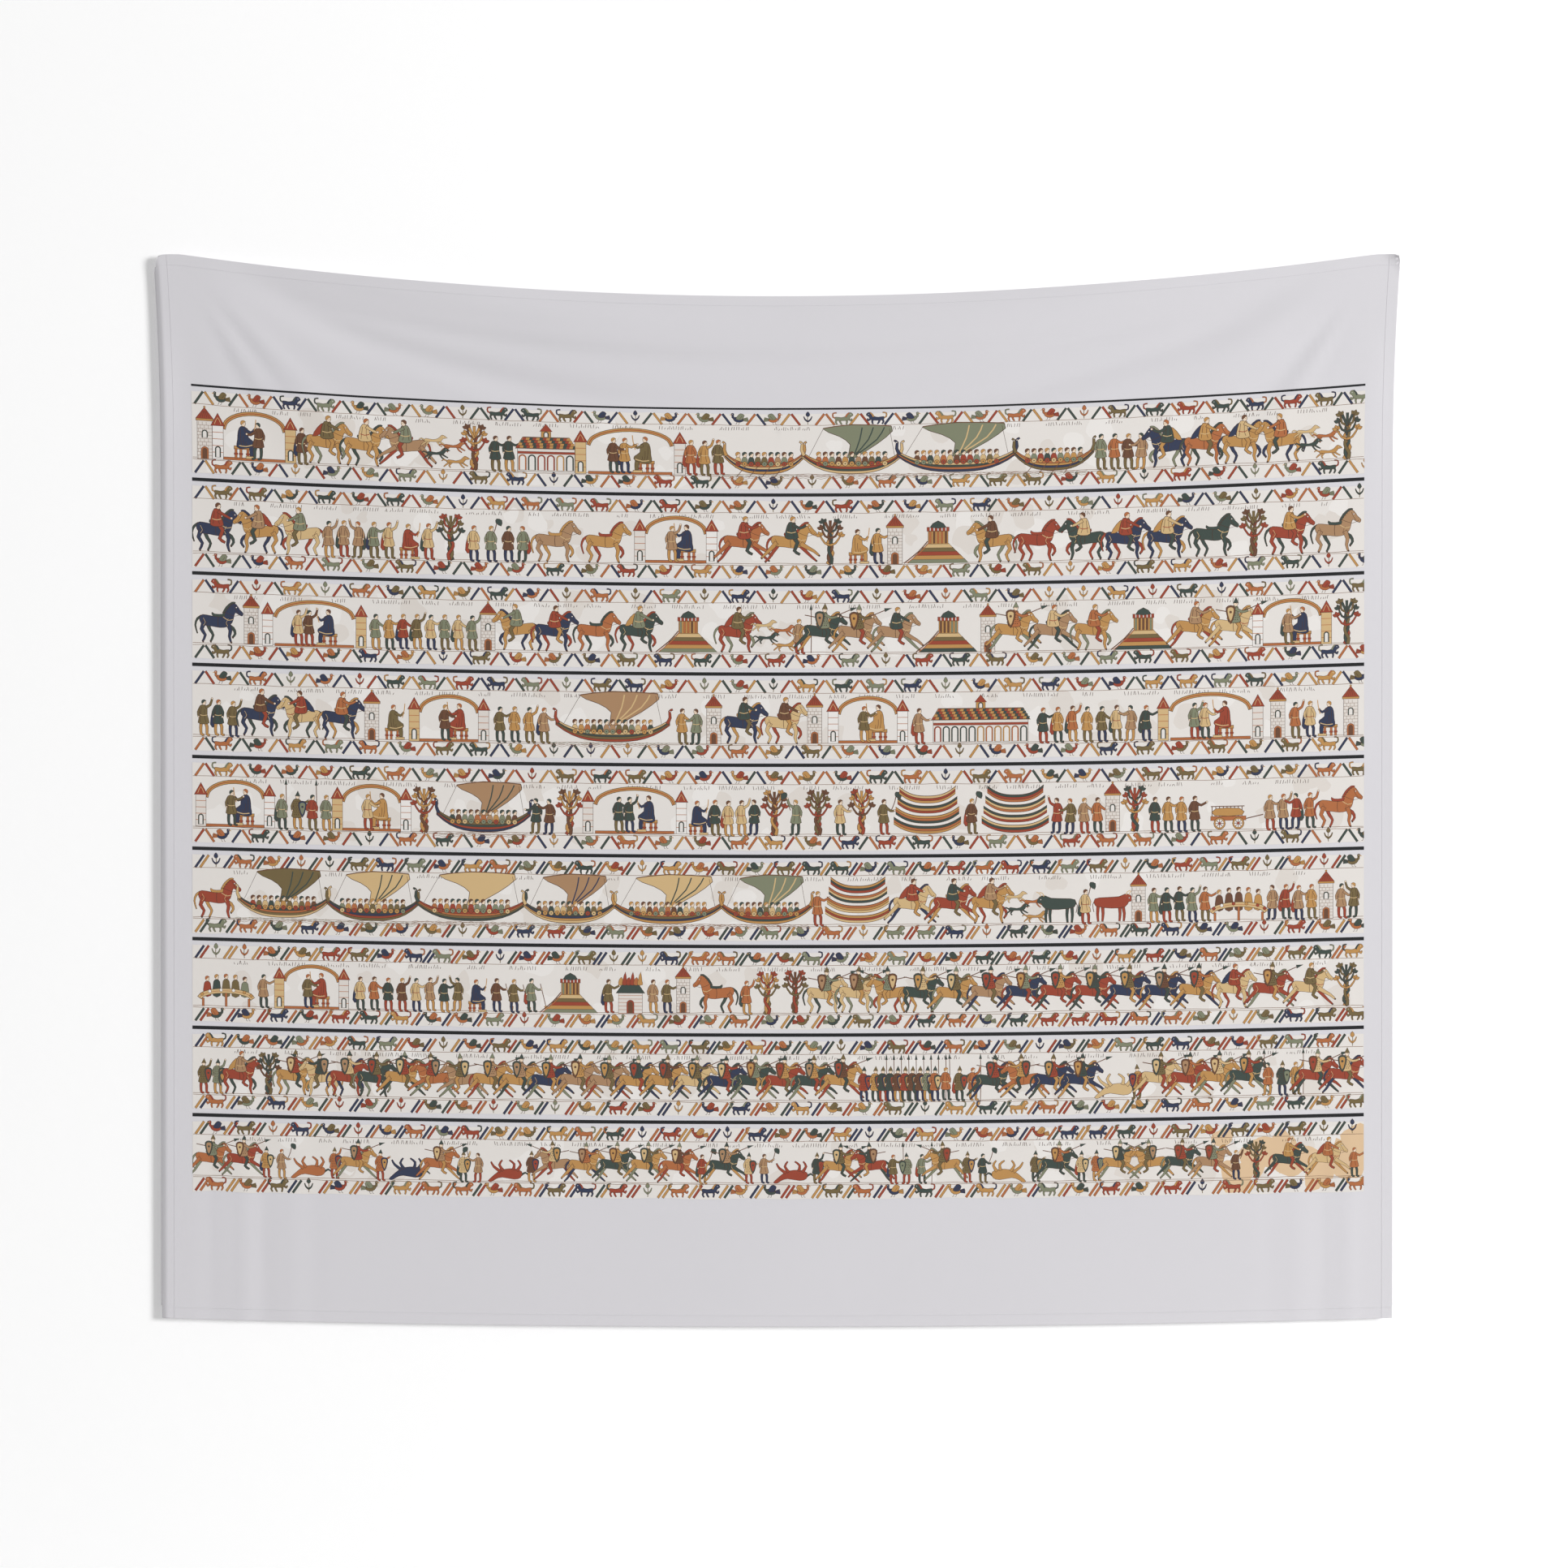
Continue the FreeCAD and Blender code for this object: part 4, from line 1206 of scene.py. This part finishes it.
BANDS = (
    "tower hall man rider rider charge hounds tree man man church long_hall man man man rowed ship "
    f"long_ship rowed {CROWD}rider rider rider rider hounds tree",
    f"rider rider rider {CROWD}man seated man tree man axeman man man steed steed hall charge charge "
    "tree seated man tower castle rider steed rider rider rider steed tree rider steed",
    f"steed tower long_hall {CROWD}{CROWD}tower rider rider steed rider castle rider hounds spearman "
    "knight knight charge castle tower knight charge rider castle charge knight hall tree",
    f"man man man rider rider rider tower seated hall {CROWD}long_ship man man tower rider rider "
    f"tower hall man long_church {CROWD}{CROWD}long_hall tower man man seated tower",
    f"hall {GUARD}man hall tree ship man man tree long_hall seated {CROWD}tree axeman tree axeman "
    f"tree axeman boats axeman boats {CROWD}tower tree {CROWD}cart {CROWD}steed",
    "steed ship ship long_ship ship long_ship ship man boats charge charge rider hounds ox axeman ox "
    f"tower {CROWD}man table {CROWD}tower man man",
    f"table man hall {CROWD}{CROWD}seated digger digger digger castle man fire man man tower steed "
    f"man tree tree {COLUMN}{CAVALRY}{CAVALRY}rider knight charge tree",
    f"soldier soldier rider tree {COLUMN}{CAVALRY}{CAVALRY}{CAVALRY}{CAVALRY}soldier wall_of_shields "
    f"{GUARD}{CAVALRY}fallen soldier {CAVALRY}{GUARD}knight knight",
    f"knight {BATTLE}soldier fallen {BATTLE}{CAVALRY}axeman {BATTLE}knight {GUARD}{BATTLE}soldier "
    f"soldier {CAVALRY}axeman tree charge charge man",
)


def draw_linen(d, low, high, stained):
    """The band's ground, with slightly uneven edges, and paler and darker areas in it."""
    rng = d.rng
    count = 60
    x = np.linspace(-FRIEZE_HALF, FRIEZE_HALF, count)
    top = high + np.array([rng.uniform(-0.9, 0.9) for _ in x])
    base = low + np.array([rng.uniform(-1.3, 1.3) for _ in x])
    d.put(np.concatenate([x + 1j * base, (x + 1j * top)[::-1]]), "linen")
    edge = FRIEZE_HALF - 30
    patches = [(rng.uniform(-edge, edge), rng.uniform(9, 26), None) for _ in range(46)]
    # The right end of the last band is stained.
    for _ in range(22 * stained):
        patches.append((FRIEZE_HALF - rng.uniform(4, 240), rng.uniform(14, 34), "stain"))
    for x, reach, ink in patches:
        centre = complex(x, rng.uniform(low + 18, high - 18))
        ring = [
            (centre + reach * rng.uniform(0.6, 1.2) * np.exp(2j * math.pi * k / 9)) for k in range(9)
        ]
        ring = [complex(p.real, min(max(p.imag, low + 3), high - 3)) for p in ring]
        d.put(curve(ring, closed=True), ink or rng.choice(["linen_light", "linen_shade"]))


def wobbly_line(d, y, ink, width, wobble):
    """A line across a band that wanders a little up and down, every 24 mm or so."""
    count = int(2 * FRIEZE_HALF / 24)
    points = [
        (-FRIEZE_HALF + 1 + (2 * FRIEZE_HALF - 2) * k / count, y + d.rng.uniform(-wobble, wobble))
        for k in range(count + 1)
    ]
    d.mark(points, ink, width)


def draw_border(d, y, paired, dense):
    """A strip of slanting bars in turn with birds, beasts and plants."""
    x = -FRIEZE_HALF + 12
    slant = 1
    while x < FRIEZE_HALF - 24:
        for _ in range(2):
            lean = 7 if paired else 7 * slant
            ink = d.pick("brick", "teal", "ochre", "navy", "rust")
            d.at(x, y).limb([(-lean, 0.5), (lean, EDGE_BAND - 2.5)], ink, 3.4, 3.4, 0.4)
            if not paired:
                slant = -slant
            x += 8 if paired else 17
        x += 11 if paired else 3
        ink, trim = d.rng.sample(["brick", "rust", "ochre", "teal", "navy", "sage", "olive"], 2)
        spot = d.at(x, y + 1.6, 1.10, d.pick(-1, 1))
        chance = d.rng.random()
        if chance < 0.42:
            draw_bird(spot, ink, trim)
        elif chance < 0.85:
            draw_beast(spot, ink, trim)
        else:
            draw_plant(spot, "olive", trim)
        x += dense


def draw_stitch_rows(d, y):
    """Groups of short plain stitches along the top of the field, in place of any inscription."""
    x = -FRIEZE_HALF + 70
    while x < FRIEZE_HALF - 60:
        for _ in range(d.rng.randint(5, 16)):
            if x > FRIEZE_HALF - 60:
                break
            tall = d.rng.choice((3.0, 6.0, 6.0))
            base = y + d.rng.uniform(-0.5, 0.5)
            lean = d.rng.choice((-1.4, 0.6, 0.6, 1.6))
            d.bar((x, base), (x + lean, base + tall), "line", 0.8)
            x += d.rng.uniform(3.0, 5.0)
        x += d.rng.uniform(8, 50)


def draw_band(index):
    d = Drawing(random.Random(100 + index), [])
    rule_top = -RULE_TOPS[index]
    next_rule = -(RULE_TOPS + (FRIEZE_END,))[index + 1]
    thick = 3.4 if index == 0 else 5.6
    rule = np.array([-FRIEZE_HALF + 1j * rule_top, FRIEZE_HALF + 1j * rule_top,
                     FRIEZE_HALF + 1j * (rule_top - thick), -FRIEZE_HALF + 1j * (rule_top - thick)])
    high = rule_top - thick - 7.5
    low = next_rule + (7.0 if index < 8 else 0.0)
    draw_linen(d, low, high, index == len(BANDS) - 1)
    d.put(rule, "rule")
    field_low = low + EDGE_BAND
    field_high = high - EDGE_BAND + 2
    paired = index > 4
    draw_border(d, field_high, paired, 20)
    draw_border(d, low + 1.0, paired, 24)
    for y in (field_low, field_high, field_low + 3):
        wobbly_line(d, y, "fine", 0.8, 0.8)
    draw_stitch_rows(d, field_high - 9)
    motifs = [MOTIFS[word] for word in BANDS[index].split()]
    squeeze = (2 * FRIEZE_HALF - 2 * END_MARGIN) / sum(width for _, width in motifs)
    size = 1.02 * (field_high - field_low) / DRAWN_HEIGHT
    x = -FRIEZE_HALF + END_MARGIN
    for draw, width in motifs:
        width *= squeeze
        flip = -1 if d.rng.random() < 0.16 else 1
        draw(d.at(x + width / 2, field_low + d.rng.uniform(1.5, 4.0), size, flip))
        x += width
    return d.shapes


def cut(outline, limit, side):
    """The part of a closed outline on one side of an upright line."""
    inside = (outline.real - limit) * side >= 0
    if inside.all():
        return outline
    kept = []
    for index, point in enumerate(outline):
        before = outline[index - 1]
        if inside[index] != inside[index - 1]:
            share = (limit - before.real) / (point.real - before.real)
            kept.append(before + (point - before) * share)
        if inside[index]:
            kept.append(point)
    return np.array(kept)


def stepped(outline, longest):
    """A closed outline with points added, so that none of its edges is longer than asked."""
    after = np.roll(outline, -1)
    counts = np.maximum(np.ceil(np.abs(after - outline) / longest), 1).astype(int)
    parts = [
        start + (end - start) * np.arange(count) / count
        for start, end, count in zip(outline, after, counts)
    ]
    return np.concatenate(parts)


def covers(outline, places):
    """Which places a closed outline winds around."""
    start = outline[:, None] - places[None, :]
    end = np.roll(outline, -1)[:, None] - places[None, :]
    left = (np.conj(start) * end).imag > 0
    upward = (start.imag <= 0) & (end.imag > 0) & left
    downward = (start.imag > 0) & (end.imag <= 0) & ~left
    return upward.sum(axis=0) != downward.sum(axis=0)


PRINT_LIFT = 0.3
GROUND_PITCH = 11.0
TILES = 8


def make_band(index):
    """One printed band, as a flat mosaic of its shapes' inks, laid on the cloth."""
    low = -(RULE_TOPS + (FRIEZE_END,))[index + 1] - 1.5
    high = -RULE_TOPS[index] + 0.1
    shapes = []
    for outline, ink in draw_band(index):
        shapes.append((outline.real + 1j * np.clip(outline.imag, low, high), ink))
    flat, faces, colours = [], [], []
    limits = np.linspace(-FRIEZE_HALF, FRIEZE_HALF, TILES + 1)
    for left, right in zip(limits[:-1], limits[1:]):
        verts, edges, parts = [], [], []
        for outline, ink in shapes:
            if outline.real.max() <= left or outline.real.min() >= right:
                continue
            outline = stepped(cut(cut(outline, left, 1), right, -1), GROUND_PITCH)
            start, count = len(verts), len(outline)
            edges += [(start + step, start + (step + 1) % count) for step in range(count)]
            verts += [Vector((point.real, point.imag)) for point in outline]
            parts.append((outline, INK_ORDER.index(ink)))
        for y in np.arange(low + 3, high, GROUND_PITCH):
            for x in np.arange(left + GROUND_PITCH / 2, right, GROUND_PITCH):
                verts.append(Vector((x, y)))
        points, _, triangles, _, _, _ = delaunay_2d_cdt(verts, edges, [], 0, 1e-3, False)
        points = np.array([complex(*point) for point in points])
        triangles = np.array(triangles)
        centres = points[triangles].mean(axis=1)
        order = np.argsort(centres.real)
        triangles = triangles[order]
        centres = centres[order]
        found = np.full(len(centres), -1)
        for outline, ink in parts:
            first, last = np.searchsorted(centres.real, (outline.real.min(), outline.real.max()))
            near = np.arange(first, last)
            level = centres.imag[first:last]
            near = near[(level > outline.imag.min()) & (level < outline.imag.max())]
            found[near[covers(outline, centres[near])]] = ink
        faces.append(triangles[found >= 0] + sum(map(len, flat)))
        colours.append(found[found >= 0])
        flat.append(points)
    flat = np.concatenate(flat)
    used, faces = np.unique(np.concatenate(faces), return_inverse=True)
    faces = faces.reshape(-1, 3)
    flat = flat[used]
    place, normal = hang_with_normals(flat.real, flat.imag)
    return new_piece(f"printed_band_{index + 1}", place + normal * PRINT_LIFT, faces, INK_MATERIALS,
                     face_materials=np.concatenate(colours), normals=normal)


INK_MATERIALS = [fabric(f"ink_{ink}", colour, relief=0.10) for ink, colour in INKS.items()]


# ---------------------------------------------------------------- tapes, label and metal

def strip_solid(path, width, thickness, centre_x):
    """A tape of even thickness along a path of (y, z) points, its width along X."""
    path = np.asarray(path, float)
    tangent = np.gradient(path, axis=0)
    tangent /= np.linalg.norm(tangent, axis=1, keepdims=True)
    normal = np.stack([-tangent[:, 1], tangent[:, 0]], axis=1)
    half = width / 2
    section = [(-half, 0.3), (0.4 - half, 0.5), (0.0, 0.55), (half - 0.4, 0.5), (half, 0.3),
               (half, -0.3), (half - 0.4, -0.5), (0.0, -0.5), (0.4 - half, -0.5), (-half, -0.3)]
    points = []
    for (y, z), (ny, nz) in zip(path, normal):
        for across, lift in section:
            points.append((centre_x + across, y + ny * lift * thickness, z + nz * lift * thickness))
    return points, tube_faces(len(path), len(section))


def make_tab(side_name, side):
    centre_x = side * FIXING_X
    bar = (RING_Y, BAR_Z)
    wrap = 1.75
    angles = np.linspace(-0.5, math.pi + 0.5, 15)
    turn = [(bar[0] - wrap * math.cos(a), bar[1] + wrap * math.sin(a)) for a in angles]
    hem_y = FRONT_Y + 1.5
    front = [(hem_y + 0.5, TAB_LOW_Z + 0.4), (hem_y + 0.5, TAB_LOW_Z + 8), (hem_y + 0.5, TAB_LOW_Z + 16),
             (hem_y + 1.4, TAB_LOW_Z + 23), (hem_y + 5.6, TAB_LOW_Z + 31), (RING_Y - 1.4, BAR_Z - 4.5)]
    back = [(RING_Y - 0.4, BAR_Z - 4.5), (hem_y + 6.6, TAB_LOW_Z + 31), (hem_y + 2.4, TAB_LOW_Z + 23),
            (hem_y + 1.5, TAB_LOW_Z + 16), (hem_y + 1.5, TAB_LOW_Z + 8), (hem_y + 1.5, TAB_LOW_Z + 0.4)]
    path = curve([complex(*p) for p in front + turn + back], steps=3)
    points, faces = strip_solid(np.stack([path.real, path.imag], axis=1), TAB_WIDTH - 0.6, 0.9, centre_x)
    return new_piece(f"{side_name}_tape_tab", points, faces, [tape_material], f"{side_name}_tab")


def make_tab_stitches(side_name, side):
    """A sewn square with a cross in it, on the back of the tape."""
    half, low, high = 7.6, TAB_LOW_Z + 2.2, TAB_LOW_Z + 15.6
    back_y = FRONT_Y + 3.5
    corners = [(-half, low), (half, low), (half, high), (-half, high)]
    runs = [(corners[k], corners[(k + 1) % 4]) for k in range(4)]
    runs += [(corners[0], corners[2]), (corners[1], corners[3])]
    places, directions = [], []
    for (x0, z0), (x1, z1) in runs:
        length = math.hypot(x1 - x0, z1 - z0)
        direction = np.array([(x1 - x0) / length, 0.0, (z1 - z0) / length])
        count = int(length / 2.4)
        for step in range(count):
            share = (step + 0.5) / count
            across = side * FIXING_X + x0 + (x1 - x0) * share
            places.append(np.array([across, back_y, z0 + (z1 - z0) * share]))
            directions.append(direction)
    outward = [np.array([0.0, 1.0, 0.0])] * len(places)
    points, faces = stitches(places, directions, outward, 1.9, 0.55)
    return new_piece(f"{side_name}_tape_stitches", points, faces, [thread_material],
                     f"{side_name}_tab_thread")


LABEL_THICKNESS = 0.28


def make_label():
    low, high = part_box("care_label")
    x0, x1 = low[0] / MM, high[0] / MM
    z0, z1 = low[2] / MM, high[2] / MM
    columns, rows = 9, 17
    flat_u = np.linspace(x0, x1, columns) * FLAT_WIDTH / 2 / BOTTOM_HALF
    flat_w = np.linspace(z0, z1, rows) - (TOP_Z - SIDE_HEIGHT) - FLAT_HEIGHT + BOTTOM_BULGE * 0.2
    grid_u, grid_w = np.meshgrid(flat_u, flat_w)
    share = np.linspace(0, 1, rows)[:, None] * np.ones((1, columns))
    arching = np.sin(np.linspace(0, math.pi, columns))[None, :]
    curl = 1.6 + 3.0 * ease((share - 0.35) / 0.65) + 0.5 * arching * share
    curl = curl.ravel()
    layers = [on_cloth(grid_u.ravel(), grid_w.ravel(), -depth) for depth in (curl + LABEL_THICKNESS, curl)]
    # Its outer side looks away from the cloth's front, so its faces are the sheet's turned over.
    faces = [(face[0],) + face[:0:-1] for face in sheet_faces(columns, rows)]
    label = new_piece("blank_label", np.concatenate(layers), faces, [label_material], "care_label")
    seam_u = np.arange(flat_u[0] + 2, flat_u[-1] - 1, 2.8)
    seam_w = np.full_like(seam_u, SEAM_INSET - FLAT_HEIGHT)
    place, normal = hang_with_normals(seam_u, seam_w)
    places = place - normal * 2.0
    directions = np.tile([1.0, 0.0, 0.0], (len(places), 1))
    points, faces = stitches(places, directions, -normal, 2.2, 0.5)
    thread = new_piece("label_stitches", points, faces, [thread_material], "care_label_thread")
    return [label, thread]


def finish_metal():
    finishes = {
        "ring": metal("nickel_wire", linear(206, 202, 194), 0.22, 0.08),
        "hook": metal("zinc_strip", linear(190, 192, 194), 0.38, 0.12),
        "screw": metal("zinc_screw", linear(178, 178, 176), 0.34, 0.12),
    }
    for node, thing_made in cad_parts.items():
        for kind, material in finishes.items():
            if node.endswith(kind):
                for material_slot in thing_made.material_slots:
                    material_slot.material = material


# ---------------------------------------------------------------- build the pieces

sheet_piece = make_sheet()
EDGES = ("top", "bottom", "left", "right")
hem_pieces = [make_hem(edge) for edge in EDGES]
stitch_pieces = [make_hem_stitches(edge) for edge in EDGES]
band_pieces = [make_band(index) for index in range(len(BANDS))]
SIDES = (("left", -1), ("right", 1))
tab_pieces = [make_tab(name, side) for name, side in SIDES]
tab_stitch_pieces = [make_tab_stitches(name, side) for name, side in SIDES]
label_pieces = make_label()
finish_metal()

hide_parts("printed_cloth")


# ---------------------------------------------------------------- stage, camera and light

def stage_plane(name, corners, material):
    mesh = bpy.data.meshes.new(name)
    mesh.from_pydata(corners, [], [tuple(range(len(corners)))])
    mesh.materials.append(material)
    plane = bpy.data.objects.new(name, mesh)
    bpy.context.scene.collection.objects.link(plane)


def wall_material():
    """Matt white, clear from behind and casting no shadow, so that the cloth's back is seen and lit."""
    material, tree, shader = new_material("wall_paint", {
        "Base Color": (1, 1, 1, 1), "Roughness": 0.95, "Specular IOR Level": 0.0,
    })
    link = tree.links.new
    either = add(tree, "Math", operation="MAXIMUM")
    link(add(tree, "NewGeometry").outputs["Backfacing"], either.inputs[0])
    link(add(tree, "LightPath").outputs["Is Shadow Ray"], either.inputs[1])
    mix = add(tree, "MixShader")
    link(either.outputs[0], mix.inputs["Fac"])
    link(shader.outputs["BSDF"], mix.inputs[1])
    link(add(tree, "BsdfTransparent").outputs["BSDF"], mix.inputs[2])
    link(mix.outputs["Shader"], tree.nodes["Material Output"].inputs["Surface"])
    return material


WALL_HALF, WALL_TOP, WALL_Y, FLOOR_Z, FLOOR_REACH = 3.2, 1.6, 0.0002, -2.35, 3.4
wall_corners = ((-1, FLOOR_Z), (1, FLOOR_Z), (1, WALL_TOP), (-1, WALL_TOP))
stage_plane("wall", [(side * WALL_HALF, WALL_Y, z) for side, z in wall_corners], wall_material())
floor_corners = ((-1, -1), (1, -1), (1, 1), (-1, 1))
floor_material = fabric("pale_floor", (0.6, 0.6, 0.6), roughness=0.8, sheen=0.0, relief=0.0)
stage_plane("floor", [(x * WALL_HALF, y * FLOOR_REACH, FLOOR_Z) for x, y in floor_corners], floor_material)


def area_light(name, place, target, size, power):
    light = bpy.data.lights.new(name, "AREA")
    light.shape = "DISK"
    light.size = size
    light.energy = power
    lamp = bpy.data.objects.new(name, light)
    lamp.location = place
    lamp.rotation_euler = (Vector(target) - Vector(place)).to_track_quat("-Z", "Y").to_euler()
    bpy.context.scene.collection.objects.link(lamp)


middle = (0.0, 0.0, (TOP_Z - SIDE_HEIGHT / 2) * MM)
area_light("key", (11.4, -9.1, 1.2), middle, 4.6, 1720)
area_light("back_fill", (-3.0, 6.0, 2.0), middle, 3.0, 240)

world = bpy.data.worlds.new("studio")
world.use_nodes = True
fill(world.node_tree.nodes["Background"], {"Color": (1, 1, 1, 1), "Strength": 0.54})
scene = bpy.context.scene
scene.world = world
scene.view_settings.view_transform = "Standard"
scene.view_settings.look = "None"

# The picture is square. The cloth's width over its shoulders fills this share of the picture's width.
CLOTH_SHARE = 0.7935
camera_data = bpy.data.cameras.new("camera")
camera_data.sensor_width = 36.0
camera_distance = 6.5
picture_width = 2 * TOP_HALF * MM / CLOTH_SHARE
camera_data.lens = camera_data.sensor_width * (camera_distance + FRONT_Y * MM) / picture_width
camera = bpy.data.objects.new("camera", camera_data)
camera.location = (0.0095, -camera_distance, -0.852)
camera.rotation_euler = (math.pi / 2, 0, 0)
scene.collection.objects.link(camera)
scene.camera = camera
